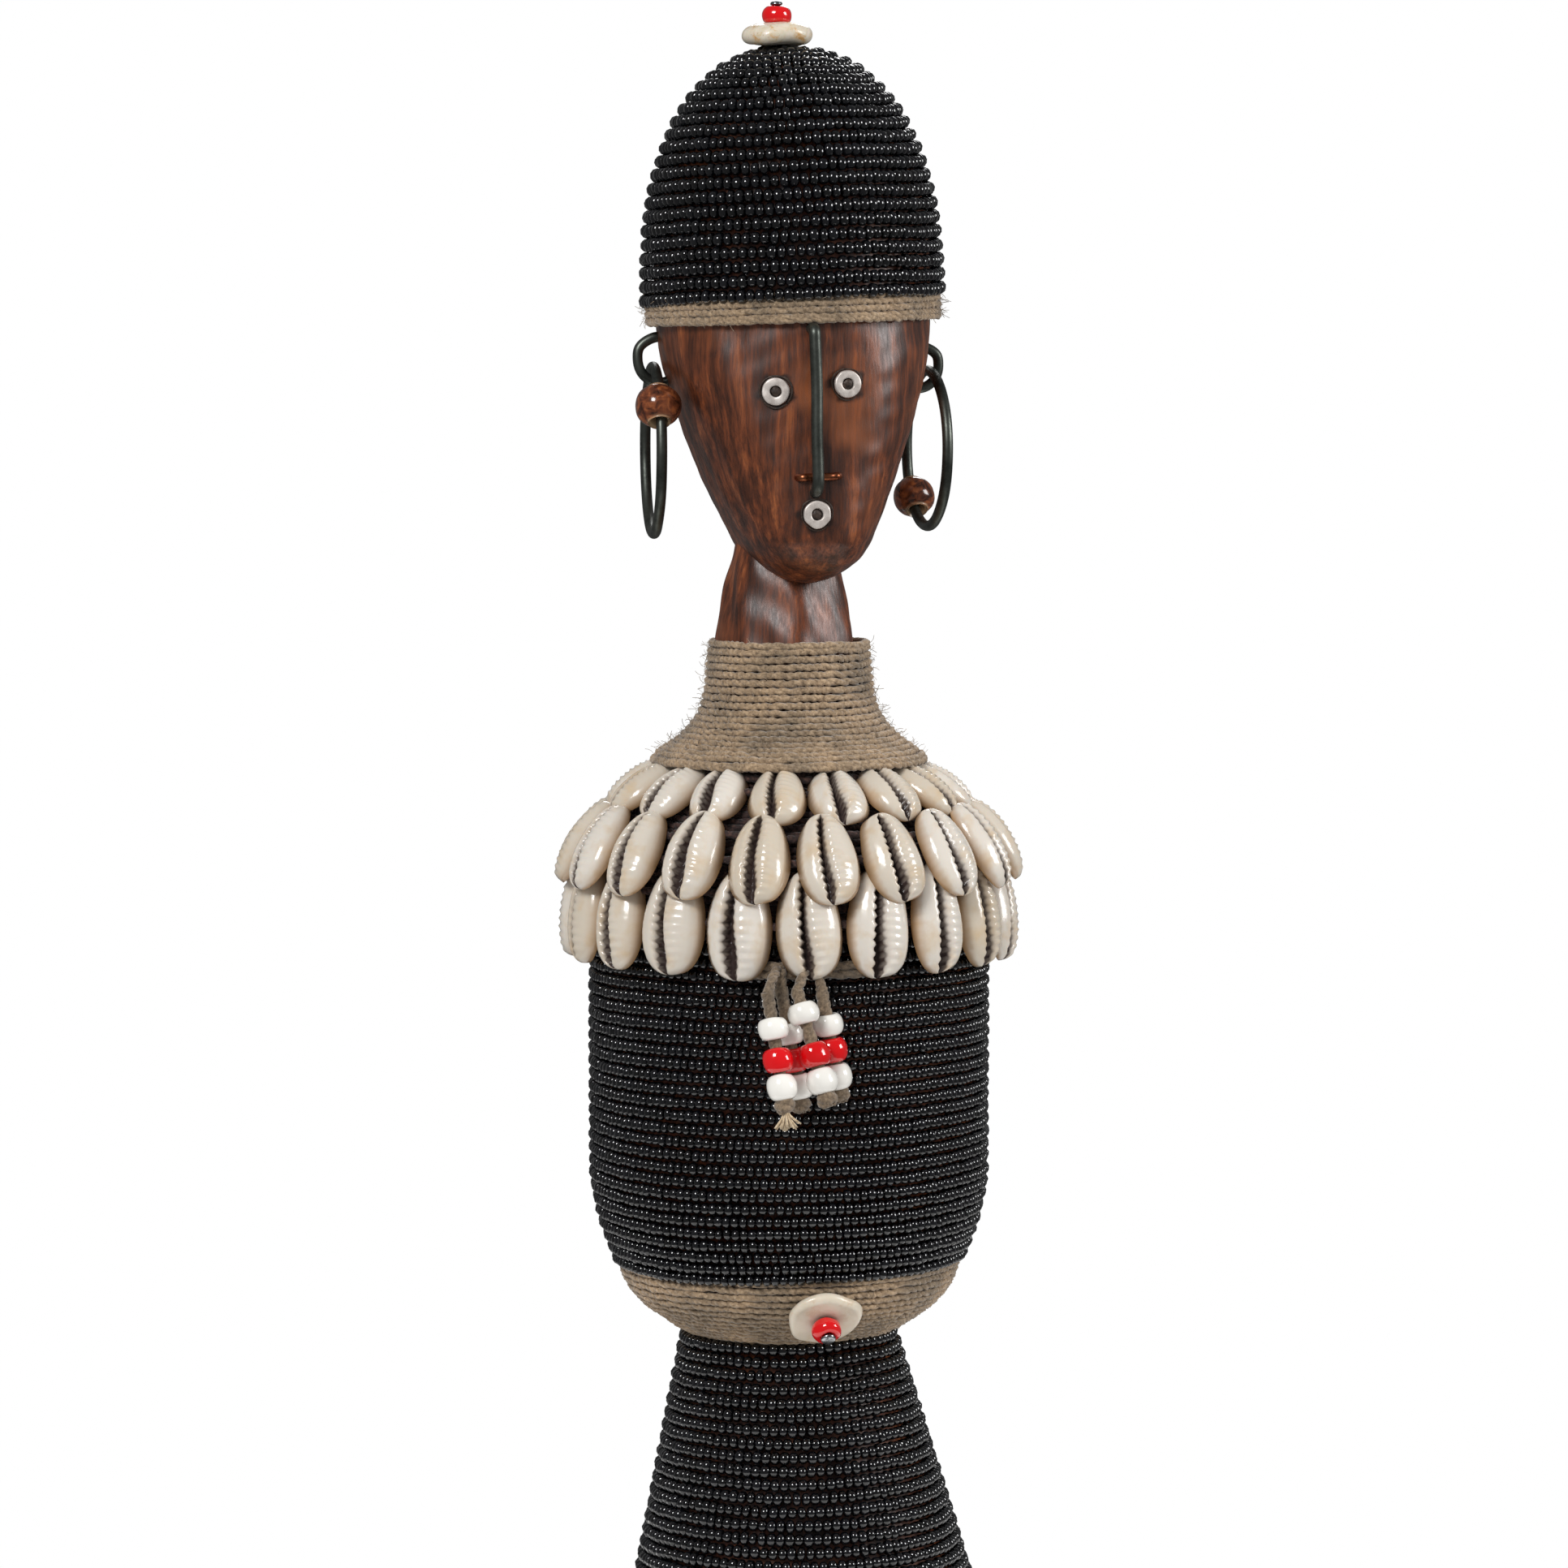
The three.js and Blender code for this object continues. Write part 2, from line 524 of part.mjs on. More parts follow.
for (const row of rows) {
  const [topR, topZ] = [TORSO_R + row.top[0], SHOULDER_Z + row.top[1]];
  const [tipR, tipZ] = [TORSO_R + row.tip[0], SHOULDER_Z + row.tip[1]];
  const length = Math.hypot(tipR - topR, topZ - tipZ);
  const lean = Math.atan2(tipR - topR, topZ - tipZ);
  const outR = Math.cos(lean);
  const outZ = Math.sin(lean);
  const cordR = topR + (tipR - topR) * row.cord;
  const cordZ = topZ + (tipZ - topZ) * row.cord;
  const band = [[-0.8, -0.6], [0.8, -0.6], [0.8, 0.8], [-0.8, 0.8], [-0.8, -0.6]].map(([s, n]) => [
    cordR + s * outZ + n * outR, cordZ - s * outR + n * outZ,
  ]);
  // The cord has a corner between each two shells, so it is drawn out to meet them.
  const drawnOut = 1 / Math.cos(Math.PI / row.count);
  const turn = rad(row.front) + Math.PI / row.count;
  const cord = turned(band.map(([r, z]) => [r * drawnOut, z]), row.count).rotateZ(turn - Math.PI / 2);
  let body = solid(cord);
  for (let i = 0; i < row.count; i++) {
    const around = rad(row.front) + (2 * Math.PI * i) / row.count;
    const one = cowrie(row.width, length, row.thick);
    one.rotateX(-lean).translate(0, -(topR + tipR) / 2, (topZ + tipZ) / 2).rotateZ(around);
    body = body.add(solid(one));
  }
  add(doll, "cowrie_row_" + row.name, geometryOf(body), shell);
}

// ---- Navel: a bone disc and a red bead on a nail, resting across the waist

const NAVEL_TURN = 1; // degrees round from the front
const NAVEL_DIP = 44; // degrees below level
const navel = new THREE.Group();
const NAVEL_DISC = 3;
const navelR = WAIST_R + 14.7;
navel.position.set(navelR * Math.sin(rad(NAVEL_TURN)), -navelR * Math.cos(rad(NAVEL_TURN)), WAIST_Z + 6.9);
navel.rotation.order = "ZXY";
navel.rotation.set(rad(90 + NAVEL_DIP), 0, rad(NAVEL_TURN));
navel.updateMatrix();
doll.add(navel);
const navelRed = NAVEL_DISC / 2 + GAP + RED_BEAD_H / 2;
const navelTop = navelRed + RED_BEAD_H / 2 + GAP;
add(navel, "navel_disc", roundedRing(DISC_D + 0.5, discHoleD, NAVEL_DISC), bone);
const navelBead = roundedRing(RED_BEAD_D, discHoleD, RED_BEAD_H, 12).translate(0, 0, navelRed);
add(navel, "navel_bead", navelBead, redBead);
const navelNailLength = navelTop + NAVEL_DISC / 2 + NAIL_DEPTH + 4;
add(navel, "navel_nail", nail(navelNailLength).translate(0, 0, navelTop), steel);
const navelBore = nailBore(0, 0, -22, 0, GAP).applyMatrix4(navel.matrix);
holes.push(navelBore);
add(doll, "waist_twine", geometryOf(solid(layer(waistLine, TWINE)).subtract(solid(navelBore))), twine);

// ---- Cord pendants: four strings that hang from behind the lower shells, with three beads each

const HANG_Z = SHOULDER_Z - 9.2;
const HANG_R = TORSO_R + 5.2;
const PENDANT_TURN = -7.5; // degrees round from the front to the middle of the bunch
const onBody = (r, turn, z) => v3(r * Math.sin(rad(turn)), -r * Math.cos(rad(turn)), z);

const tieLine = [[TORSO_R + TORSO_BEAD, HANG_Z + 1.6], [TORSO_R + TORSO_BEAD, HANG_Z + 4.4]];
const tie = solid(turnedShell(offset(tieLine, GAP + 1.1), offset(tieLine, GAP)));
const wedge = new THREE.Shape([v2(0, 0), onBody(60, PENDANT_TURN - 17, 0), onBody(60, PENDANT_TURN + 17, 0)]
  .map((p) => v2(p.x, p.y)));
const wedgeSolid = solid(new THREE.ExtrudeGeometry(wedge, { depth: 20, bevelEnabled: false })
  .translate(0, 0, HANG_Z - 10));
add(doll, "pendant_anchor", geometryOf(tie.intersect(wedgeSolid)), darkCord);

const BEAD_D = 6.2;
const KNOT = 1.4; // length of the knot under the lowest bead
const BEADS = [
  { part: "upper", h: 4.4, material: whiteBead },
  { part: "middle", h: 4.9, material: redBead },
  { part: "lower", h: 5.2, material: whiteBead },
];
// Each string starts and is aimed by a distance from the body's axis, a turn from the front in degrees
// and a height. lowest is how far down it the lowest bead sits, gaps are the bare lengths between
// beads, and tail is the end below the knot.
const strings = [
  { name: "a", from: [6.7, -15.5, -1.9], aim: [10.7, -11.3, -25.6], lowest: 17.3, gaps: [1.6, GAP], tail: 4 },
  { name: "b", from: [0.9, -12.7, -1.6], aim: [1.2, -8, -22.6], lowest: 18.3, gaps: [0.65, GAP],
    tail: 0.2 },
  { name: "c", from: [4.6, -8.6, -1.6], aim: [8.8, -2.7, -21.5], lowest: 17, gaps: [3.8, GAP], tail: 0.9 },
  { name: "d", from: [0.9, -2.4, -1.6], aim: [1.2, 1.9, -21.3], lowest: 16.4, gaps: [0.4, GAP], tail: 0.6 },
];
for (const { name, from, aim, lowest, gaps, tail } of strings) {
  const start = onBody(HANG_R + from[0], from[1], HANG_Z + from[2]);
  const down = onBody(HANG_R + aim[0], aim[1], HANG_Z + aim[2]).sub(start).normalize();
  const along = (distance) => start.clone().addScaledVector(down, distance);
  const [upperH, middleH, lowerH] = BEADS.map((bead) => bead.h);
  const middle = lowest - (lowerH + middleH) / 2 - gaps[1];
  const upper = middle - (middleH + upperH) / 2 - gaps[0];
  const knot = lowest + lowerH / 2 + GAP;
  const cord = solid(rod(start, along(knot + KNOT + tail), CORD_D, 8));
  const lump = solid(rod(along(knot), along(knot + KNOT), CORD_D + 1.4, 8));
  add(doll, "pendant_cord_" + name, geometryOf(cord.add(lump)), twine);
  [upper, middle, lowest].forEach((distance, i) => {
    const turn = new THREE.Quaternion().setFromUnitVectors(v3(0, 0, -1), down);
    const bead = roundedRing(BEAD_D, CORD_HOLE_D, BEADS[i].h, 8);
    bead.applyQuaternion(turn).translate(...along(distance).toArray());
    add(doll, "pendant_bead_" + name + "_" + BEADS[i].part, bead, BEADS[i].material);
  });
}

// ---- The wood last, with every hole cut in it
const uncut = solid(bodyWood()).add(solid(headToBody(headWood())));
const carved = holes.reduce((body, hole) => body.subtract(solid(hole)), uncut);
add(doll, "carved_figure", geometryOf(carved), wood);

export default doll;
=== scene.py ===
"""A carved wooden doll dressed in glass beadwork, twine and cowrie shells.

Sizes are in millimetres and turn to metres through MM where a mesh is made. The doll faces -Y.
"""
import math

import bpy
import numpy as np
from mathutils import Euler, Matrix, Vector


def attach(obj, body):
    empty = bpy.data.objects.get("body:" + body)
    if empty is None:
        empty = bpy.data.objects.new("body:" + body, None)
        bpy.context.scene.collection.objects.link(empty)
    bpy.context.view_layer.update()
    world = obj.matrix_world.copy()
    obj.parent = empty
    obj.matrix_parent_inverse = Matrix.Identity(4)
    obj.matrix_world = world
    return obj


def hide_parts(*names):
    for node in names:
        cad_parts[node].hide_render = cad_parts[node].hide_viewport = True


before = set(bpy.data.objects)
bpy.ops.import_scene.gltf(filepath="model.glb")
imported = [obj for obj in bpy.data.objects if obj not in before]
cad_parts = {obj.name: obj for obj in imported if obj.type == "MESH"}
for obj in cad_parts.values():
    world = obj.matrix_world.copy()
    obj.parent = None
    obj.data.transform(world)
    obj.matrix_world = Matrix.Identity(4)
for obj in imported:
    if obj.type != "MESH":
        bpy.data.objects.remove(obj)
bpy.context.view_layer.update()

MM = 0.001


# ---- Sizes shared with the frame's solids

GAP = 0.3
TWINE = 1.7
SKIRT_BASE_R = 41.5
SKIRT_SWEEP = 0.058
WAIST_R = 19.2
BELLY_R = 33.5
TORSO_R = 38.3
NECK_R = 14.6
THROAT_R = 9.9
WAIST_Z = 90.3
BELLY_Z = 104.6
TORSO_Z = 122.0
SHOULDER_Z = 174.0
NECK_Z = 210.0
CHIN_Z = 243.2
BRIM_Z = 295.7
SKULL_Z = 301.1
FACE_DEPTH = 27.7
HEAD_R = 27.7
SKULL_R = 28.1
SKULL_HEIGHT = 47.2
CROWN_N = 2.3
TORSO_BEAD = 2.4
SKIRT_BEAD = 2.6
CAP_BEAD = 2.7
HEAD_TILT = math.radians(-1.4)
HEAD_PIVOT = Vector((2, 0, 250))
HEAD = (Matrix.Translation(HEAD_PIVOT) @ Matrix.Rotation(HEAD_TILT, 4, "Y")
        @ Matrix.Translation((0, 0, -HEAD_PIVOT.z)))
FINIAL_X = -1.9


# ---- Camera: a long lens a little to the doll's right, level with the brim of the cap

CAMERA_PLACE = Vector((-0.237, -1.217, 0.301))
CAMERA_AIM = Vector((-0.001, 0, 0.2015))


def add_camera():
    data = bpy.data.cameras.new("camera")
    data.lens = 140
    data.sensor_width = 36
    data.clip_end = 20
    camera = bpy.data.objects.new("camera", data)
    bpy.context.collection.objects.link(camera)
    camera.location = CAMERA_PLACE
    camera.rotation_euler = (CAMERA_AIM - CAMERA_PLACE).to_track_quat("-Z", "Y").to_euler()
    bpy.context.scene.camera = camera


add_camera()


# ---- Node helpers

def linear(code):
    """An sRGB hex colour as a linear RGBA tuple."""
    parts = [int(code[i:i + 2], 16) / 255 for i in (1, 3, 5)]
    return (*[p / 12.92 if p <= 0.04045 else ((p + 0.055) / 1.055) ** 2.4 for p in parts], 1.0)


def per_mm(size):
    """The texture scale whose pattern repeats about once in that many millimetres."""
    return 1 / (size * MM)


RANDOM_INPUT = {"FLOAT_VECTOR": 0, "FLOAT": 2, "INT": 4}


class Nodes:
    """Adds nodes to one tree. An input is given as a value or as the output that feeds it."""

    def __init__(self, tree):
        self.tree = tree

    def feed(self, socket, value):
        if isinstance(value, bpy.types.NodeSocket):
            self.tree.links.new(value, socket)
        else:
            socket.default_value = value

    def add(self, kind, inputs=None, **settings):
        new = self.tree.nodes.new(kind)
        for key, value in settings.items():
            setattr(new, key, value)
        for key, value in (inputs or {}).items():
            self.feed(new.inputs[key], value)
        return new

    def geometry(self, kind, inputs=None, **settings):
        return self.add("GeometryNode" + kind, inputs, **settings).outputs[0]

    def math(self, operation, *values):
        return self.add("ShaderNodeMath", dict(enumerate(values)), operation=operation).outputs[0]

    def vector(self, operation, *values):
        return self.add("ShaderNodeVectorMath", dict(enumerate(values)),
                        operation=operation).outputs[0]

    def scaled(self, vector, scale):
        inputs = {0: vector, "Scale": scale}
        return self.add("ShaderNodeVectorMath", inputs, operation="SCALE").outputs[0]

    def xyz(self, x, y, z):
        return self.add("ShaderNodeCombineXYZ", {0: x, 1: y, 2: z}).outputs[0]

    def random(self, kind, low, high, seed):
        first = RANDOM_INPUT[kind]
        inputs = {first: low, first + 1: high, "Seed": seed}
        return self.add("FunctionNodeRandomValue", inputs, data_type=kind).outputs[first // 2]

    def facing(self, vector):
        return self.add("FunctionNodeAlignRotationToVector", {"Vector": vector},
                        axis="Z").outputs[0]

    def shaded(self, instances, seed):
        """Gives each instance a shade of its own, which its finish reads."""
        return self.geometry("StoreNamedAttribute", {
            0: instances, "Name": "shade", "Value": self.random("FLOAT", 0.0, 1.0, seed)},
            data_type="FLOAT", domain="INSTANCE")

    def attribute(self, name):
        return self.add("ShaderNodeAttribute", attribute_name=name).outputs["Fac"]

    def ramp(self, value, *stops):
        made = self.add("ShaderNodeValToRGB", {"Fac": value})
        elements = made.color_ramp.elements
        while len(elements) < len(stops):
            elements.new(0.5)
        for element, (at, color) in zip(elements, stops):
            element.position = at
            element.color = linear(color)
        return made.outputs["Color"]

    def mix(self, share, first, second, how="MIX"):
        """Mixes two colours, each an output or a hex colour."""
        first, second = (linear(c) if isinstance(c, str) else c for c in (first, second))
        inputs = {0: share, 6: first, 7: second}
        return self.add("ShaderNodeMix", inputs, data_type="RGBA", blend_type=how).outputs[2]

    def spread(self, value, from_low, from_high, to_low, to_high):
        inputs = {0: value, 1: from_low, 2: from_high, 3: to_low, 4: to_high}
        return self.add("ShaderNodeMapRange", inputs).outputs[0]


class Finish(Nodes):
    """A new material: its nodes, its shader and its object coordinates."""

    def __init__(self, name):
        self.material = bpy.data.materials.new(name)
        self.material.use_nodes = True
        super().__init__(self.material.node_tree)
        self.shader = self.tree.nodes["Principled BSDF"]
        self.place = self.add("ShaderNodeTexCoord").outputs["Object"]

    def noise(self, size, detail, at=None, **more):
        """Noise that repeats about once in size millimetres."""
        inputs = {"Vector": at or self.place, "Scale": per_mm(size), "Detail": detail, **more}
        return self.add("ShaderNodeTexNoise", inputs).outputs["Fac"]

    def bump(self, height, strength, depth):
        """A bumpy surface, depth in millimetres."""
        return self.add("ShaderNodeBump", {
            "Height": height, "Strength": strength, "Distance": depth * MM}).outputs[0]

    def settle(self, **values):
        """Sets or feeds the shader's inputs, and gives the material."""
        for key, value in values.items():
            self.feed(self.shader.inputs[key.replace("_", " ")], value)
        return self.material


# ---- Finishes, each named for what the real surface is

def grain_wood():
    """Carved hardwood, dark with wax: fine upright grain, orange where the wax has worn."""
    n = Finish("carved_hardwood")
    upright = n.add("ShaderNodeMapping", {"Vector": n.place, "Scale": (1, 1, 0.09)}).outputs[0]
    wander = n.add("ShaderNodeTexNoise", {"Vector": n.place, "Scale": per_mm(14), "Detail": 2.0})
    bent = n.vector("MULTIPLY", wander.outputs["Color"], (0.0016, 0.0016, 0))
    grain_at = n.vector("ADD", upright, bent)
    streak = n.noise(2.6, 5, grain_at, Roughness=0.62)
    fine = n.noise(0.55, 4, grain_at, Roughness=0.7)
    base = n.ramp(streak, (0.28, "#2b140c"), (0.43, "#4d2613"), (0.56, "#71391c"),
                  (0.72, "#a05a2e"))
    line = n.ramp(fine, (0.38, "#5a3a32"), (0.55, "#ffffff"))
    worn = n.spread(n.noise(22, 3), 0.52, 0.72, 0.0, 0.55)
    waxed = n.mix(worn, n.mix(0.5, base, line, "MULTIPLY"), "#a35c32")
    ragged = n.math("MULTIPLY", n.attribute("scored"), streak)
    color = n.mix(n.spread(ragged, 0.2, 0.42, 0.0, 0.8), waxed, "#170d09")
    return n.settle(Base_Color=color, Roughness=n.spread(fine, 0.3, 0.7, 0.52, 0.28),
                    Normal=n.bump(fine, 0.5, 0.12), Specular_IOR_Level=0.5, Coat_Weight=0.3,
                    Coat_Roughness=0.35)


def glass_bead(name, low, high, roughness):
    """Pressed opaque glass: a wet shine, a little darker or lighter from bead to bead."""
    n = Finish(name)
    color = n.mix(n.attribute("shade"), low, high)
    dull = n.spread(n.noise(2.2, 2), 0.45, 0.75, roughness, roughness + 0.12)
    return n.settle(Base_Color=color, Roughness=dull, IOR=1.52, Coat_Weight=0.8,
                    Coat_Roughness=0.03)


def spun_cotton(name, dark, middle, pale):
    """Spun cotton greyed by handling: dull, with paler fibres on top and dirt in the lay."""
    n = Finish(name)
    fibre = n.noise(0.7, 5, Roughness=0.7)
    yarn = n.ramp(fibre, (0.30, dark), (0.50, middle), (0.70, pale))
    tint = n.ramp(n.noise(9, 3), (0.35, "#bdb8b0"), (0.62, "#fff3e2"))
    return n.settle(Base_Color=n.mix(0.8, yarn, tint, "MULTIPLY"), Normal=n.bump(fibre, 0.7, 0.15),
                    Roughness=0.95, Sheen_Weight=0.35, Sheen_Roughness=0.5, Specular_IOR_Level=0.2)


def dark_cord():
    """Dark brown hide cord and cloth, dull and dusty in its folds."""
    n = Finish("dark_hide_cord")
    weave = n.noise(0.9, 4)
    color = n.ramp(weave, (0.32, "#1b1110"), (0.52, "#3a2622"), (0.72, "#64473c"))
    return n.settle(Base_Color=color, Normal=n.bump(weave, 0.9, 0.3), Roughness=0.85,
                    Sheen_Weight=0.2)


def cowrie_enamel():
    """Cowrie shell: glossy cream enamel, tan towards the rim and the teeth, and dark brown painted
    shade in the mouth.
    """
    n = Finish("cowrie_enamel")
    # mouth carries painted shade: dark brown down the slit and in the gaps between the teeth.
    mouth = n.attribute("mouth")
    cloud = n.noise(4.5, 4)
    cream = n.mix(n.attribute("shade"), "#dcd5cb", "#ccc0ae")
    stained = n.mix(n.spread(cloud, 0.5, 0.72, 0.0, 0.6), cream, "#cbb08a")
    tan = n.mix(n.attribute("rim"), stained, "#b08a60")
    return n.settle(Base_Color=n.mix(mouth, tan, "#2c1711"), Roughness=n.spread(mouth, 0.0, 1.0,
                                                                                0.2, 0.8),
                    Normal=n.bump(cloud, 0.2, 0.3), IOR=1.55, Coat_Weight=0.35, Coat_Roughness=0.1,
                    Subsurface_Weight=0.12, Subsurface_Radius=(1.0, 0.6, 0.35),
                    Subsurface_Scale=1.2 * MM)


def polished_bone():
    """Bone turned and rubbed smooth: ivory, with tan veins and open pores."""
    n = Finish("polished_bone")
    vein = n.noise(3.2, 6, Roughness=0.65, Distortion=0.6)
    pore = n.add("ShaderNodeTexVoronoi", {"Vector": n.place,
                                          "Scale": per_mm(0.9)}).outputs["Distance"]
    ivory = n.ramp(vein, (0.40, "#ddd3c3"), (0.55, "#d2c5ad"), (0.63, "#c9a06a"), (0.70, "#a87a48"))
    pits = n.ramp(pore, (0.04, "#b09272"), (0.16, "#ffffff"))
    plain = n.mix(0.25, "#d9cdba", ivory)
    color = n.mix(n.attribute("speckled"), plain, n.mix(0.6, ivory, pits, "MULTIPLY"))
    return n.settle(Base_Color=color, Normal=n.bump(pore, 0.25, 0.1), Roughness=0.3, IOR=1.53,
                    Coat_Weight=0.2, Subsurface_Weight=0.08, Subsurface_Scale=1 * MM)


def metal(name, bright, dark, roughness, grit, metallic=1.0):
    """Bare metal: bright where it is rubbed, dark and rougher where it has tarnished."""
    n = Finish(name)
    patch = n.noise(grit, 6, Roughness=0.7)
    return n.settle(Base_Color=n.ramp(patch, (0.36, dark), (0.62, bright)),
                    Roughness=n.spread(patch, 0.3, 0.7, roughness + 0.15, roughness),
                    Normal=n.bump(patch, 0.15, 0.06), Metallic=metallic)


def varnished_wood():
    """Turned wooden bead under thick varnish: brown streaks, a pale bare rim round its hole."""
    n = Finish("varnished_bead_wood")
    bare = n.attribute("rim")
    grain = n.noise(2.4, 4, Distortion=1.2)
    brown = n.ramp(grain, (0.35, "#33180e"), (0.52, "#6b371f"), (0.68, "#96552f"))
    return n.settle(Base_Color=n.mix(bare, brown, "#d3b48c"), Roughness=n.spread(bare, 0.0, 1.0,
                                                                                 0.18, 0.7),
                    Coat_Weight=0.5, Coat_Roughness=0.12)


WOOD = grain_wood()
BLACK_GLASS = glass_bead("black_seed_bead_glass", "#040405", "#0b0c10", 0.04)
RED_GLASS = glass_bead("red_bead_glass", "#cc060c", "#de0e16", 0.1)
WHITE_GLASS = glass_bead("white_bead_glass", "#e9e6df", "#f6f3ec", 0.18)
SPUN_TWINE = spun_cotton("spun_twine", "#685a4b", "#a18e78", "#c8b59d")
STRING_COTTON = spun_cotton("handled_cotton_string", "#4d433a", "#7d7061", "#9c8d7b")
RAW_COTTON = spun_cotton("raw_cotton_end", "#92816b", "#cfbfa5", "#eee1ca")
HIDE_CORD = dark_cord()
COWRIE = cowrie_enamel()
BONE = polished_bone()
IRON = metal("dark_iron_wire", "#666a64", "#3d403c", 0.34, 7, 0.9)
STEEL = metal("steel_nail", "#c6c9cc", "#5d5f60", 0.2, 0.9)
ALUMINIUM = metal("scratched_aluminium", "#ebe2db", "#c4bab3", 0.42, 1.6, 0.6)
COPPER = metal("tarnished_copper_wire", "#ba7350", "#7c4832", 0.3, 2.5)
BEAD_WOOD = varnished_wood()
PIN_WOOD = metal("blackened_pin", "#4a3a30", "#1d1512", 0.45, 0.8, 0.1)


# ---- Meshes from points in millimetres

def plain_mesh(name, points, faces, paint, matrix=None, smooth=True):
    """A mesh object whose faces are turned outwards, with its place in its mesh."""
    mesh = bpy.data.meshes.new(name)
    spots = np.asarray(points, float)
    if matrix is not None:
        m = np.array(matrix)
        spots = spots @ m[:3, :3].T + m[:3, 3]
    mesh.from_pydata((spots * MM).tolist(), [], faces)
    mesh.validate()
    mesh.calc_loop_triangles()
    corners = np.zeros(len(mesh.loop_triangles) * 3, int)
    mesh.loop_triangles.foreach_get("vertices", corners)
    a, b, c = (spots[corners.reshape(-1, 3)[:, i]] for i in range(3))
    if np.einsum("ij,ij->i", a, np.cross(b, c)).sum() < 0:
        mesh.flip_normals()
    mesh.polygons.foreach_set("use_smooth", [smooth] * len(mesh.polygons))
    mesh.materials.append(paint)
    made = bpy.data.objects.new(name, mesh)
    bpy.context.collection.objects.link(made)
    return made


def grid_faces(rows, columns, wrap_rows=False):
    """Quads over rows of points, each row closed on itself."""
    faces = []
    for k in range(rows if wrap_rows else rows - 1):
        low, high = k * columns, (k + 1) % rows * columns
        for i in range(columns):
            j = (i + 1) % columns
            faces.append((low + i, low + j, high + j, high + i))
    return faces


def turned(profile, facets=64):
    """Points and faces of a form turned about Z. A profile off the axis closes on itself."""
    profile = np.asarray(profile, float)
    around = np.arange(facets) * 2 * np.pi / facets
    ring = np.stack([np.cos(around), np.sin(around)], 1)
    points = np.concatenate([np.column_stack([ring * r, np.full(facets, z)]) for r, z in profile])
    on_axis = profile[0, 0] < 1e-6
    if not on_axis:
        return points, grid_faces(len(profile), facets, wrap_rows=True)
    inner = points[facets:-facets]
    faces = grid_faces(len(profile) - 2, facets)
    low, high = len(inner), len(inner) + 1
    top = (len(profile) - 3) * facets
    faces += [(low, (i + 1) % facets, i) for i in range(facets)]
    faces += [(high, top + i, top + (i + 1) % facets) for i in range(facets)]
    return np.vstack([inner, [0, 0, profile[0, 1]], [0, 0, profile[-1, 1]]]), faces


def smooth_path(knots, count):
    """Points along a smooth curve through the knots, evenly placed by knot."""
    knots = np.asarray(knots, float)
    padded = np.vstack([2 * knots[0] - knots[1], knots, 2 * knots[-1] - knots[-2]])
    out = []
    for t in np.linspace(0, len(knots) - 1, count):
        k = min(int(t), len(knots) - 2)
        f = t - k
        p0, p1, p2, p3 = padded[k:k + 4]
        out.append(0.5 * (2 * p1 + (p2 - p0) * f + (2 * p0 - 5 * p1 + 4 * p2 - p3) * f ** 2
                          + (3 * p1 - p0 - 3 * p2 + p3) * f ** 3))
    return np.array(out)


def wire(path, radius, sides=16, closed=False):
    """Points and faces of round wire along a path. radius may be one value for each point."""
    path = np.asarray(path, float)
    count = len(path)
    radius = np.broadcast_to(radius, count)
    along = np.gradient(path, axis=0)
    if closed:
        along = np.roll(path, -1, 0) - np.roll(path, 1, 0)
    along /= np.linalg.norm(along, axis=1, keepdims=True)
    side = np.cross(along[0], [0.3, 0.5, 0.81])
    points = []
    for k in range(count):
        side = side - along[k] * side.dot(along[k])
        side /= np.linalg.norm(side)
        other = np.cross(along[k], side)
        for i in range(sides):
            a = 2 * np.pi * i / sides
            points.append(path[k] + radius[k] * (side * np.cos(a) + other * np.sin(a)))
    faces = grid_faces(count, sides, wrap_rows=closed)
    if not closed:
        faces += [tuple(range(sides))[::-1], tuple((count - 1) * sides + i for i in range(sides))]
    return np.array(points), faces


def about_z(angle, r, z):
    """Points at the given angles about Z."""
    return np.column_stack([r * np.cos(angle), r * np.sin(angle), np.broadcast_to(z, len(angle))])


def joined(parts):
    """Several point and face lists as one."""
    points, faces, start = [], [], 0
    for some_points, some_faces in parts:
        points.append(some_points)
        faces += [tuple(v + start for v in face) for face in some_faces]
        start += len(some_points)
    return np.vstack(points), faces


def uneven(points, amount, size, seed=0):
    """Moves points by soft lumps, as handwork has. amount and size are in millimetres."""
    draw = np.random.default_rng(seed)
    moved = np.array(points, float)
    for _ in range(6):
        wave = draw.normal(size=3) * 2 * np.pi / size / 1.7
        push = draw.normal(size=3) * amount / 2.4
        moved += push * np.sin(points @ wave + draw.uniform(0, 6.28))[:, None]
    return moved


def shaped(name, shape, lumps, paint, stand, raise_by=0):
    """A mesh object from a shape's points and faces, made uneven by lumps and raised along Z."""
    points, faces = shape
    return plain_mesh(name, uneven(points, *lumps) + [0, 0, raise_by], faces, paint, stand)


def paint_attribute(piece, name, values):
    """Stores values for the finish to read, one for each point or one for all."""
    layer = piece.data.attributes.new(name, "FLOAT", "POINT")
    layer.data.foreach_set("value", np.full(len(piece.data.vertices), values, np.float32))


def put(piece, body, slot, *nodes):
    """Fixes a finished piece to its body, and lets it stand for frame nodes."""
    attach(piece, body)
    if nodes:
        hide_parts(*nodes)


# ---- Node trees for what is wound, strung and sewn

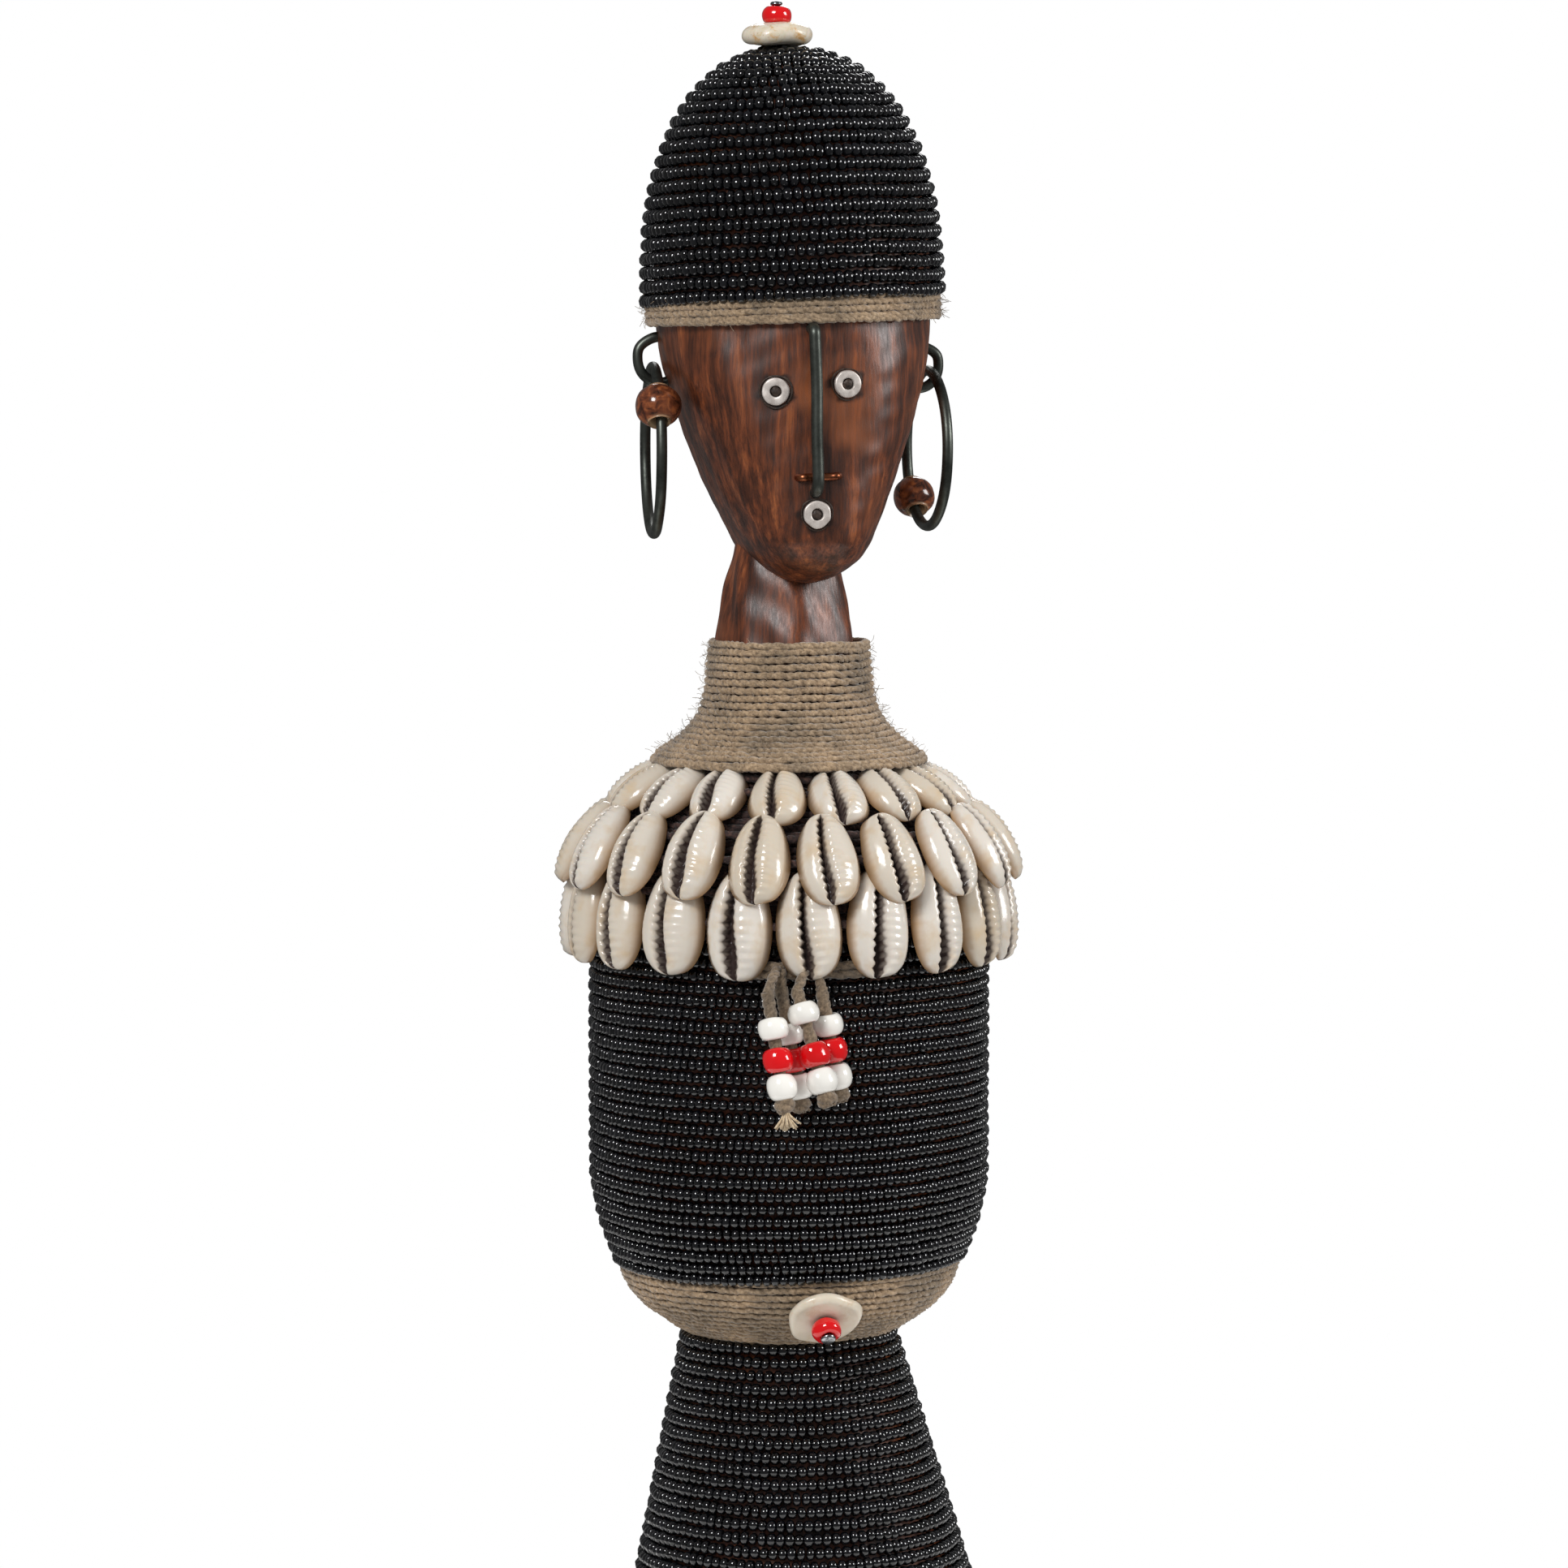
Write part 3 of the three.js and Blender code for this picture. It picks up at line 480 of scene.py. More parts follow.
def new_tree(name, **inputs):
    """A tree that makes Result from Path: its nodes, its inputs and the input of its result."""
    tree = bpy.data.node_groups.new(name, "GeometryNodeTree")
    for label, kind in {"Path": "Geometry", **inputs}.items():
        tree.interface.new_socket(label, in_out="INPUT", socket_type="NodeSocket" + kind)
    tree.interface.new_socket("Result", in_out="OUTPUT", socket_type="NodeSocketGeometry")
    enter = tree.nodes.new("NodeGroupInput").outputs
    return Nodes(tree), enter, tree.nodes.new("NodeGroupOutput").inputs[0]


def finish_tree(n, leave, geometry, paint):
    """Ends a tree: real geometry, smooth, in its material."""
    real = n.geometry("RealizeInstances", {0: geometry})
    soft = n.geometry("SetShadeSmooth", {0: real})
    n.feed(leave, n.geometry("SetMaterial", {0: soft, "Material": paint}))
    return n.tree


def bead_tree():
    """Threads barrel beads along a path, no two quite alike."""
    tip, drift = 0.14, 0.13 * MM
    n, enter, leave = new_tree("strung_beads", Diameter="Float", Length="Float", Spacing="Float",
                               Uneven="Float", Seed="Int", Glass="Material")
    line = n.geometry("MeshToCurve", {0: enter["Path"]})
    spots = n.geometry("ResampleCurve", {0: line, "Length": enter["Spacing"]}, mode="LENGTH")
    barrel = n.geometry("MeshCylinder", {
        "Vertices": 10, "Side Segments": 4, "Fill Segments": 1, "Radius": 0.5, "Depth": 1.0},
        fill_type="TRIANGLE_FAN")
    at = n.geometry("InputPosition")
    far = n.math("ABSOLUTE", n.add("ShaderNodeSeparateXYZ", {0: at}).outputs["Z"])
    waist = n.math("MULTIPLY_ADD", n.math("POWER", far, 4.0), -5.6, 1.0)
    round_at = n.vector("MULTIPLY", at, n.xyz(waist, waist, 1.0))
    bead = n.geometry("SetPosition", {0: barrel, "Position": round_at})
    turn = n.facing(n.geometry("InputTangent"))
    less = n.math("SUBTRACT", 1.0, enter["Uneven"])
    more = n.math("ADD", 1.0, enter["Uneven"])
    size = n.xyz(enter["Diameter"], enter["Diameter"], enter["Length"])
    scale = n.vector("MULTIPLY", size, n.random("FLOAT_VECTOR", less, more, enter["Seed"]))
    strung = n.geometry("InstanceOnPoints", {
        "Points": spots, "Instance": bead, "Rotation": turn, "Scale": scale})
    tipped = n.geometry("RotateInstances", {
        0: strung, "Rotation": n.random("FLOAT_VECTOR", (-tip, -tip, -3), (tip, tip, 3), 7)})
    loose = n.geometry("TranslateInstances", {
        0: tipped, "Translation": n.random("FLOAT_VECTOR", (-drift,) * 3, (drift,) * 3, 3)})
    return finish_tree(n, leave, n.shaded(loose, 5), enter["Glass"])


def twine_tree():
    """Twists two plies about each other along a path."""
    n, enter, leave = new_tree("twisted_twine", Diameter="Float", Lay="Float", Step="Float",
                               Loose="Float", Sides="Int", Yarn="Material")

    def wander(size, output):
        return n.add("ShaderNodeTexNoise", {"Scale": per_mm(size), "Detail": 1.0},
                     noise_dimensions="3D").outputs[output]

    line = n.geometry("MeshToCurve", {0: enter["Path"]})
    even = n.geometry("ResampleCurve", {0: line, "Length": enter["Step"]}, mode="LENGTH")
    length = n.add("GeometryNodeSplineParameter").outputs["Length"]
    regular = n.math("DIVIDE", length, enter["Lay"])
    turns = n.math("MULTIPLY_ADD", wander(9, "Fac"), 2.6, regular)
    normal = n.geometry("InputNormal")
    side = n.vector("CROSS_PRODUCT", n.geometry("InputTangent"), normal)
    section = n.geometry("CurvePrimitiveCircle", {
        "Resolution": enter["Sides"], "Radius": n.math("MULTIPLY", enter["Diameter"], 0.34)})
    ply_r = n.math("MULTIPLY", enter["Diameter"], 0.14)
    loose = n.scaled(n.vector("SUBTRACT", wander(3, "Color"), (0.5, 0.5, 0.5)), enter["Loose"])
    both = n.add("GeometryNodeJoinGeometry")
    for phase in (0, math.pi):
        angle = n.math("MULTIPLY_ADD", turns, 2 * math.pi, phase)
        away = n.vector("ADD", n.scaled(normal, n.math("COSINE", angle)),
                        n.scaled(side, n.math("SINE", angle)))
        shift = n.vector("ADD", n.scaled(away, ply_r), loose)
        ply = n.geometry("SetPosition", {0: even, "Offset": shift})
        thick = n.geometry("CurveToMesh", {0: ply, 1: section, "Fill Caps": True})
        n.feed(both.inputs[0], thick)
    return finish_tree(n, leave, both.outputs[0], enter["Yarn"])


def nap_tree():
    """Scatters loose fibre ends over a surface."""
    n, enter, leave = new_tree("loose_fibres", Density="Float", Fibre="Float", Thickness="Float",
                               Seed="Int", Yarn="Material")
    spots = n.add("GeometryNodeDistributePointsOnFaces", {
        0: enter["Path"], "Density": enter["Density"], "Seed": enter["Seed"]}).outputs
    curl = n.geometry("CurveQuadraticBezier", {
        "Resolution": 3, "Start": (0, 0, 0), "Middle": (0.1, 0, 0.55), "End": (0.62, 0.1, 0.75)})
    section = n.geometry("CurvePrimitiveCircle", {
        "Resolution": 3, "Radius": n.math("DIVIDE", enter["Thickness"], enter["Fibre"])})
    fibre = n.geometry("CurveToMesh", {0: curl, 1: section, "Fill Caps": True})
    scale = n.math("MULTIPLY", n.random("FLOAT", 0.35, 1.25, 2), enter["Fibre"])
    grown_out = n.geometry("InstanceOnPoints", {
        "Points": spots[0], "Instance": fibre, "Rotation": n.facing(spots["Normal"]),
        "Scale": scale})
    lie = n.random("FLOAT_VECTOR", (-0.9, -0.9, -3.1), (0.9, 0.9, 3.1), 4)
    laid = n.geometry("RotateInstances", {0: grown_out, "Rotation": lie})
    return finish_tree(n, leave, laid, enter["Yarn"])


def sewn_tree():
    """Sets one of three shells at each point, turned and sized as the point says."""
    n, enter, leave = new_tree("sewn_shells", First="Object", Second="Object", Third="Object",
                               Seed="Int", Shell="Material")
    choice = n.add("GeometryNodeJoinGeometry")
    for label in ("Third", "Second", "First"):
        one = n.add("GeometryNodeObjectInfo", {"Object": enter[label], "As Instance": True})
        n.feed(choice.inputs[0], one.outputs["Geometry"])
    facing, size = (n.geometry("InputNamedAttribute", {"Name": name}, data_type="FLOAT_VECTOR")
                    for name in ("facing", "size"))
    turn = n.add("FunctionNodeEulerToRotation", {0: facing}).outputs[0]
    sewn = n.geometry("InstanceOnPoints", {
        "Points": enter["Path"], "Instance": choice.outputs[0], "Pick Instance": True,
        "Instance Index": n.random("INT", 0, 2, enter["Seed"]), "Rotation": turn, "Scale": size})
    return finish_tree(n, leave, n.shaded(sewn, enter["Seed"]), enter["Shell"])


BEADS = bead_tree()
TWISTED = twine_tree()
NAP = nap_tree()
SEWN = sewn_tree()


def grown(name, start, tree, values):
    """Runs a tree on a mesh or object and keeps the result as one plain mesh at the origin."""
    holder = start if isinstance(start, bpy.types.Object) else bpy.data.objects.new(name + "_start",
                                                                                    start)
    if holder is not start:
        bpy.context.collection.objects.link(holder)
    modifier = holder.modifiers.new("grow", "NODES")
    modifier.node_group = tree
    for item in tree.interface.items_tree:
        if item.in_out == "INPUT" and item.name in values:
            modifier[item.identifier] = values[item.name]
    scene_now = bpy.context.evaluated_depsgraph_get()
    mesh = bpy.data.meshes.new_from_object(holder.evaluated_get(scene_now), depsgraph=scene_now)
    mesh.name = name
    holder.modifiers.remove(modifier)
    if holder is not start:
        bpy.data.objects.remove(holder)
    made = bpy.data.objects.new(name, mesh)
    bpy.context.collection.objects.link(made)
    return made


def twisted(name, start, diameter, lay, step, loose, sides, yarn):
    """Two-ply twine along paths, its sizes in millimetres."""
    return grown(name, start, TWISTED, {
        "Diameter": diameter * MM, "Lay": lay * MM, "Step": step * MM, "Loose": loose * MM,
        "Sides": sides, "Yarn": yarn})


# ---- Outlines of the wood, and strands wound on them

def eased(start, end, shares):
    """An outline from start to end through the given shares of the way out and the way up."""
    return [[start[0] + (end[0] - start[0]) * r, start[1] + (end[1] - start[1]) * z] for r,
            z in shares]


def skirt_side(heights):
    """The skirt's outline at the given heights."""
    return [[SKIRT_BASE_R + (WAIST_R - SKIRT_BASE_R) * z / WAIST_Z, z] for z in heights]


WAIST_LINE = eased([WAIST_R, WAIST_Z], [BELLY_R, BELLY_Z],
                   [[0, 0], [0.13, 0.08], [0.42, 0.26], [0.73, 0.5], [0.91, 0.75], [1, 1]])
BELLY_LINE = eased([BELLY_R, BELLY_Z], [TORSO_R, TORSO_Z], [[0, 0], [0.66, 0.5], [1, 1]])
SHOULDER_LINE = eased([TORSO_R, SHOULDER_Z], [NECK_R, NECK_Z], [
    [0, 0], [0.042, 0.28], [0.18, 0.51], [0.39, 0.67], [0.645, 0.79], [0.886, 0.88], [1, 1]])


def crown_line(radius, height, low=0.0, high=1.0, count=60):
    """The dome of the cap in section."""
    t = np.sin(np.linspace(math.asin(low), math.asin(high), count))
    return np.column_stack([radius * (1 - t ** CROWN_N) ** (1 / CROWN_N), SKULL_Z + height * t])


def offset(line, by):
    """An outline moved out square to itself."""
    line = np.asarray(line, float)
    along = np.gradient(line, axis=0)
    along /= np.linalg.norm(along, axis=1, keepdims=True)
    return line + by * np.column_stack([along[:, 1], -along[:, 0]])


def swept(points):
    """Drifts the skirt sideways below the waist."""
    moved = np.array(points, float)
    moved[:, 0] += SKIRT_SWEEP * np.maximum(0, WAIST_Z - moved[:, 2])
    return moved


def in_head(points):
    """Tilts points with the head."""
    m = np.array(HEAD)
    return np.asarray(points) @ m[:3, :3].T + m[:3, 3]


# Every winding starts at the back, at this angle about Z.
WOUND_FROM = 1.9


def wound(line, pitch, sway=0.2, seed=0, per_turn=96, share=(0.0, 1.0), level=0):
    """The path of one strand wound up an outline, a turn for each pitch.

    share picks part of its height. level is how many more turns lie level at each end.
    """
    line = np.asarray(line, float)
    run = np.concatenate([[0], np.cumsum(np.linalg.norm(np.diff(line, axis=0), axis=1))])
    turns = run[-1] / pitch + 2 * level
    t = np.arange(int(turns * share[0] * per_turn), int(turns * share[1] * per_turn) + 1) / per_turn
    r, z = (np.interp((t - level) * pitch, run, line[:, i]) for i in range(2))
    angle = 2 * np.pi * t + WOUND_FROM
    draw = np.random.default_rng(seed)
    wave = np.zeros_like(t)
    for k in (1, 2, 3, 5):
        reach, phase = draw.uniform(0.2, 0.6), draw.uniform(0, 6.28)
        wave += reach * np.sin(k * angle + phase + 0.13 * t * draw.normal())
    return about_z(angle, r, z + sway * wave)


def path_mesh(*paths):
    """Open paths as one mesh of edges, in metres."""
    mesh = bpy.data.meshes.new("path")
    points = np.vstack(paths) * MM
    edges, start = [], 0
    for path in paths:
        edges += [(start + i, start + i + 1) for i in range(len(path) - 1)]
        start += len(path)
    mesh.from_pydata(points.tolist(), edges, [])
    return mesh


# ---- Carved wood

# Head sections from the chin up: height above the chin, half width, depth to the face and to the
# back, and how square the outline is.
FACE = [
    [-0.5, 1.6, FACE_DEPTH - 17, 5, 2.2], [0, 3.5, FACE_DEPTH - 13.7, 7, 2.4],
    [1, 6.6, FACE_DEPTH - 9.7, 8.5, 2.5], [3.9, 10.1, FACE_DEPTH - 4.2, 11.5, 2.7],
    [7.5, 12.6, FACE_DEPTH - 1, 13.5, 2.8], [11.2, 14.4, FACE_DEPTH + 0.1, 16, 2.8],
    [18.5, 17.7, FACE_DEPTH + 0.2, 20, 2.8], [25.8, 20.4, FACE_DEPTH + 0.1, 23, 2.8],
    [33.1, 23, FACE_DEPTH, 25, 2.7], [43.8, HEAD_R - 1.4, FACE_DEPTH, HEAD_R - 0.7, 2.4],
    [51.5, HEAD_R, HEAD_R, HEAD_R, 2.05],
]
# The eye rings and the mouth ring, each with its place on the face.
RINGS = {"left_eye": (-9.1, CHIN_Z + 38.9), "right_eye": (5.2, CHIN_Z + 40),
         "mouth": (-1.6, CHIN_Z + 14.3)}


def oval(half_width, front, back, n, count):
    """The x and y of points round a squarish oval. n is 2 for an ellipse."""
    angle = np.arange(count) * 2 * np.pi / count
    c, s = np.cos(angle), np.sin(angle)
    x = np.sign(c) * half_width * np.abs(c) ** (2 / n)
    y = np.sign(s) * np.where(s < 0, front, back) * np.abs(s) ** (2 / n)
    return x, y


def carved_head():
    """The face and skull, scored darker round the rings."""
    count = 144
    sections = [list(row) for row in smooth_path(FACE, 116)]
    for r, z in crown_line(SKULL_R, SKULL_HEIGHT, 0.02, 0.995, 26):
        sections.append([z - CHIN_Z, r, r, r, 2.0])
    rows = []
    for height, half_width, front, back, n in sections:
        x, y = oval(half_width, front, back, n, count)
        rows.append(np.column_stack([x, y, np.full(count, CHIN_Z + height)]))
    faces = grid_faces(len(rows), count)
    faces += [tuple(range(count)), tuple((len(rows) - 1) * count + i for i in range(count))]
    points = uneven(uneven(np.vstack(rows), 0.22, 16, 3), 0.07, 5, 4)
    piece = plain_mesh("carved_head", points, faces, WOOD, HEAD)
    scored = np.zeros(len(points))
    for x, z in RINGS.values():
        away = np.hypot((points[:, 0] - x) * 0.95, points[:, 2] - z)
        edge = 4.3 + 0.8 * np.sin(5 * np.arctan2(points[:, 2] - z, points[:, 0] - x) + x)
        scored = np.maximum(scored, np.where(points[:, 1] < 0, np.clip((edge - away) / 1.6, 0, 1),
                                             0))
    paint_attribute(piece, "scored", scored)
    put(piece, "figure", "wood", "carved_figure")


def carved_body():
    """The skirt's core, the torso and the neck, up to where the neck enters the head."""
    base = [[0, 0], [SKIRT_BASE_R - 1.2, 0], [SKIRT_BASE_R - 0.3, 0.4], [SKIRT_BASE_R - 0.4, 1.4]]
    lower = skirt_side(np.linspace(2, WAIST_Z, 12))
    neck = smooth_path([[NECK_R, NECK_Z], [NECK_R, 222], [NECK_R, 230], [NECK_R - 1.3, 237.5],
                        [THROAT_R + 1.8, CHIN_Z + 1.7], [THROAT_R, CHIN_Z + 9]], 44)
    outline = [*base, *lower, *WAIST_LINE[1:], *BELLY_LINE[1:], *SHOULDER_LINE[:-1], *neck,
               [0, CHIN_Z + 12]]
    points, faces = turned(outline, 96)
    above = points[:, 2] > NECK_Z
    # The neck is pared flat in front and down both sides, as a knife leaves it.
    angle = np.arctan2(points[:, 1], points[:, 0])
    for side in (-2.05, -1.09, -0.2, 3.35):
        near = np.cos(angle - side)
        paring = 1 - 0.055 * np.clip((near - 0.9) / 0.1, 0, 1) ** 2
        points[above, :2] *= paring[above, None]
    points[above] = uneven(points[above], 0.16, 9, 8) - [0.6, 0, 0]
    piece = plain_mesh("carved_body", swept(points), faces, WOOD)
    put(piece, "figure", "wood", "carved_figure")


carved_head()
carved_body()


# ---- Beadwork: one thread of beads wound round and round

def beadwork(name, node, line, bead, pitch, seed, parts, bend=None):
    """Winds beads over an outline, split by height into pieces of a fair size."""
    middle = offset(line, GAP + bead / 2)
    for i in range(parts):
        path = wound(middle, pitch, 0.26, seed, share=(i / parts, (i + 1) / parts))
        if bend:
            path = bend(path)
        suffix = "_" + "abc"[i] if parts > 1 else ""
        piece = grown(name + suffix, path_mesh(path), BEADS, {
            "Diameter": bead * 1.02 * MM, "Length": bead * 0.68 * MM, "Spacing": bead * 0.715 * MM,
            "Uneven": 0.13, "Seed": seed + i, "Glass": BLACK_GLASS})
        put(piece, "figure", "black_bead", node)


HEM_TOP = 8.3
skirt_line = skirt_side(np.linspace(HEM_TOP + 1.6, WAIST_Z - 1.2, 30))
torso_line = [*smooth_path(BELLY_LINE, 30),
              *[[TORSO_R, z] for z in np.linspace(TORSO_Z + 1, SHOULDER_Z - 2, 30)]]
cap_line = [[SKULL_R, SKULL_Z - 1.2], *crown_line(SKULL_R, SKULL_HEIGHT, 0.03, 0.9993)]
beadwork("cap_beads", "cap_beadwork", cap_line, CAP_BEAD, 2.85, 21, 1, in_head)
beadwork("torso_beads", "torso_beadwork", torso_line, TORSO_BEAD, 2.58, 22, 3)
beadwork("skirt_beads", "skirt_beadwork", skirt_line, SKIRT_BEAD, 2.74, 23, 2, swept)


# ---- Twine: one strand wound round, with its loose fibres

def twine_band(name, node, line, seed, bend=None, pitch=1.5, fibres=3.0, strand=TWINE,
               yarn=SPUN_TWINE,
               slot="twine", sway=0.12):
    """A wrapping of twisted twine. line is the outline that the strands' outer sides lie on."""
    line = np.asarray(line, float)
    path = wound(offset(line, -strand / 2), pitch, sway, seed, per_turn=120, level=1)
    if bend:
        path = bend(path)
    wrap = twisted(name, path_mesh(path), strand * 1.04, 3.8, 0.55, 0.7, 5, yarn)
    put(wrap, "figure", slot, node)
    if not fibres:
        return
    around = 90
    angle = np.arange(around) * 2 * np.pi / around
    rings = [about_z(angle, r, z) for r, z in offset(line, -0.25)]
    points = np.vstack(rings)
    skin = plain_mesh(name + "_skin", bend(points) if bend else points, grid_faces(len(rings),
                                                                                   around), yarn)
    nap = grown(name + "_nap", skin, NAP, {
        "Density": fibres * 1e5, "Fibre": 2.0 * MM, "Thickness": 0.045 * MM, "Seed": seed,
        "Yarn": yarn})
    bpy.data.objects.remove(skin)
    put(nap, "figure", slot, node)


# The collar wraps the neck and spreads over the top of the shells.
COLLAR_LINE = eased([NECK_R + 13.7, NECK_Z - 2.9], [NECK_R + 2, NECK_Z + 20.5], [
    [0, 0], [0.08, 0.06], [0.3, 0.13], [0.51, 0.21], [0.79, 0.38], [0.91, 0.55], [0.94, 0.72],
    [1, 1]])
brim_r = HEAD_R + GAP + 2.1
brim_line = [[brim_r, BRIM_Z + 0.4], [brim_r + 0.1, BRIM_Z + 2.7], [brim_r, SKULL_Z - 0.2]]
waist_line = offset(smooth_path(WAIST_LINE, 24), GAP + TWINE)
hem_line = offset(skirt_side((1.9, 5, HEM_TOP - 0.2)), GAP + TWINE)
twine_band("brim_wrap", "brim_twine", brim_line, 31, in_head, pitch=1.35, fibres=6)
twine_band("collar_wrap", "collar_twine", smooth_path(COLLAR_LINE, 40), 32, pitch=1.55)
twine_band("waist_wrap", "waist_twine", waist_line, 33, pitch=1.6)
twine_band("hem_wrap", "hem_twine", hem_line, 34, swept, pitch=1.6)


# ---- Cowrie shells in three rows over dark cord

def cowrie_shape(name, seed):
    """A cowrie two across and two long with its mouth towards -Y and its narrow end towards +Z."""
    draw = np.random.default_rng(seed)
    rows, left, floor, right, back = 61, 11, 2, 12, 6
    count = left + floor + right + back
    teeth = draw.integers(11, 14)
    phase, bow, width = draw.uniform(0, 6.28), draw.uniform(0.03, 0.09), draw.uniform(0.8, 1.25)
    points, mouth, rim = [], [], []
    for k in range(rows):
        s = -math.cos(math.pi * (k + 0.35) / (rows - 0.3))
        swell = math.sqrt(1 - s * s)
        half = swell ** 0.84 * (1 - 0.13 * s)
        middle = -0.11 - bow * math.cos(1.6 * s) + (0.55 * (s + 0.72) if s < -0.72 else 0)
        gap = width * (0.105 + 0.11 * max(0, -s) ** 1.5 + 0.025 * math.sin(3 * s + phase))
        if s > 0.8:
            gap *= max(0.05, 1 - (s - 0.8) / 0.15)
        comb = 2 * abs((teeth * s / 2 + phase) % 1 * 2 - 1) - 1
        comb_right = math.cos((teeth + 1) * math.pi * s + phase + 1)
        open_here = 1 if s < 0.88 else max(0, 1 - (s - 0.88) / 0.08)
        left_edge = middle - gap - 0.085 * comb * open_here
        right_edge = middle + gap + 0.04 * comb_right * open_here

        def height(t, away, ridge, reach, strength):
            dome = swell ** 0.75 * max(0.0, 1 - abs(t) ** 2.3) ** 0.56
            lip = 1 - 0.34 * open_here * math.exp(-(away / 0.10) ** 1.2)
            groove = 1 + strength * ridge * math.exp(-(away / reach) ** 2) * open_here
            return dome * lip * groove

        for i in range(left):
            u = 1 - (i / (left - 1)) ** 0.62
            t = left_edge * (1 - u) + -1 * u
            away = left_edge - t
            points.append([t * half, -height(t, away, comb, 0.2, 0.1), s])
            # Painted shade: dark along the edge of the slit and in the gaps between the left lip's
            # teeth.
            mouth.append(open_here * (math.exp(-(away / 0.035) ** 2) * 0.75
                                      + max(0, -comb) * math.exp(-(away / 0.12) ** 2) * 0.8))
            rim.append(min(1, max(0, (u - 0.78) / 0.22) ** 1.5 + 0.25 * math.exp(-away / 0.1)))
        for i in range(floor):
            t = left_edge + (right_edge - left_edge) * (i + 1) / (floor + 1)
            points.append([t * half, -height(t, 0, 0, 1, 0) * (1 - 0.62 * open_here), s])
            # Painted shade: the floor of the slit is dark all over.
            mouth.append(open_here)
            rim.append(0.4)
        for i in range(right):
            u = (i / (right - 1)) ** 1.6
            t = right_edge * (1 - u) + u
            away = t - right_edge
            points.append([t * half, -height(t, away, comb_right, 0.45, 0.085), s])
            # Painted shade: dark along the edge of the slit and between the right lip's ridges.
            mouth.append(open_here * (math.exp(-(away / 0.035) ** 2) * 0.75
                                      + max(0, -comb_right) * math.exp(-(away / 0.1) ** 2) * 0.5))
            rim.append(min(1, max(0, (u - 0.8) / 0.2) ** 1.5 + 0.2 * math.exp(-away / 0.1)))
        for i in range(back):
            a = math.pi * (i + 1) / (back + 1)
            points.append([math.cos(a) * half, 0.16 * math.sin(a) * swell, s])
            mouth.append(0)
            rim.append(1)
    faces = grid_faces(rows, count)
    faces += [tuple(range(count)), tuple((rows - 1) * count + i for i in range(count))]
    shape = plain_mesh(name, uneven(np.array(points), 0.02, 0.9, seed) / MM, faces, COWRIE)
    # mouth is painted shade for the slit and the gaps between the teeth; rim is the shell's own
    # tan.
    paint_attribute(shape, "mouth", np.clip(mouth, 0, 1))
    paint_attribute(shape, "rim", rim)
    return shape


# A row lies along a straight line in section, from its upper ends to its tips, as distances from
# the top edge of the torso's wood.
ROWS = [
    {"name": "upper", "count": 16, "width": 11.8, "thick": 4.7,
     "top": (-14.6, 31), "tip": (-2, 23), "front": 7.2, "lift": -0.5},
    {"name": "middle", "count": 19, "width": 12.6, "thick": 4.8,
     "top": (-2.1, 21.5), "tip": (7.5, 6.3), "front": -0.2, "lift": 1.8},
    {"name": "lower", "count": 19, "width": 13.6, "thick": 4.8,
     "top": (1.9, 11), "tip": (5.2, -8.7), "front": -5.5, "lift": 1.7},
]


def sewn_row(row, shapes, seed):
    """One row of shells, each with its back to the row's cone, and the cords that carry them."""
    top = Vector((TORSO_R + row["top"][0], SHOULDER_Z + row["top"][1]))
    tip = Vector((TORSO_R + row["tip"][0], SHOULDER_Z + row["tip"][1]))
    length = (tip - top).length
    lean = math.atan2(tip.x - top.x, top.y - tip.y)
    middle = (top + tip) / 2
    draw = np.random.default_rng(seed)
    spots, facing, sizes = [], [], []
    for i in range(row["count"]):
        around = math.radians(row["front"] + 360 * i / row["count"])
        sideways, roll, tilt = draw.normal(size=3)
        turn = (Matrix.Rotation(around, 3, "Z") @ Matrix.Rotation(-lean + 0.02 * tilt, 3, "X")
                @ Matrix.Rotation(0.07 * sideways, 3, "Y") @ Matrix.Rotation(0.05 * roll, 3, "Z"))
        place = Vector((0.2 * sideways, -middle.x, middle.y + row["lift"] + 0.25 * roll))
        spots.append(Matrix.Rotation(around, 3, "Z") @ place)
        facing.append(turn.to_euler())
        wide, long = draw.uniform(0.97, 1.05), draw.uniform(1.04, 1.11)
        sizes.append((row["width"] / 2 * wide * MM, row["thick"] * MM, length / 2 * long * MM))
    start = bpy.data.meshes.new("row")
    start.from_pydata([tuple(s * MM) for s in spots], [], [])
    for name, values in (("facing", facing), ("size", sizes)):
        start.attributes.new(name, "FLOAT_VECTOR", "POINT").data.foreach_set("vector",
                                                                             np.ravel(values))
    node = "cowrie_row_" + row["name"]
    piece = grown("cowries_" + row["name"], start, SEWN, {
        "First": shapes[0], "Second": shapes[1], "Third": shapes[2], "Seed": seed, "Shell": COWRIE})
    for name in ("facing", "size"):
        piece.data.attributes.remove(piece.data.attributes[name])
    put(piece, "figure", "cowrie", node)

    # Two dark cords run behind the shells.
    out = Vector((math.cos(lean), math.sin(lean)))
    paths = []
    for share, lift in ((0.12, 0.3), (0.42, 0.2)):
        at = top + (tip - top) * share + out * lift
        a = np.linspace(0, 2 * np.pi, 181)
        paths.append(np.column_stack([at.x * np.sin(a), -at.x * np.cos(a),
                                      at.y + 0.3 * np.sin(9 * a)]))
    cords = twisted("sewing_cords_" + row["name"], path_mesh(*paths), 1.9, 3.2, 0.6, 0.8, 5,
                    HIDE_CORD)
    put(cords, "figure", "dark_cord", node)


shells = [cowrie_shape("shell_" + str(i), 40 + i) for i in range(3)]
for i, row in enumerate(ROWS):
    sewn_row(row, shells, 50 + i)
for shape in shells:
    bpy.data.objects.remove(shape)

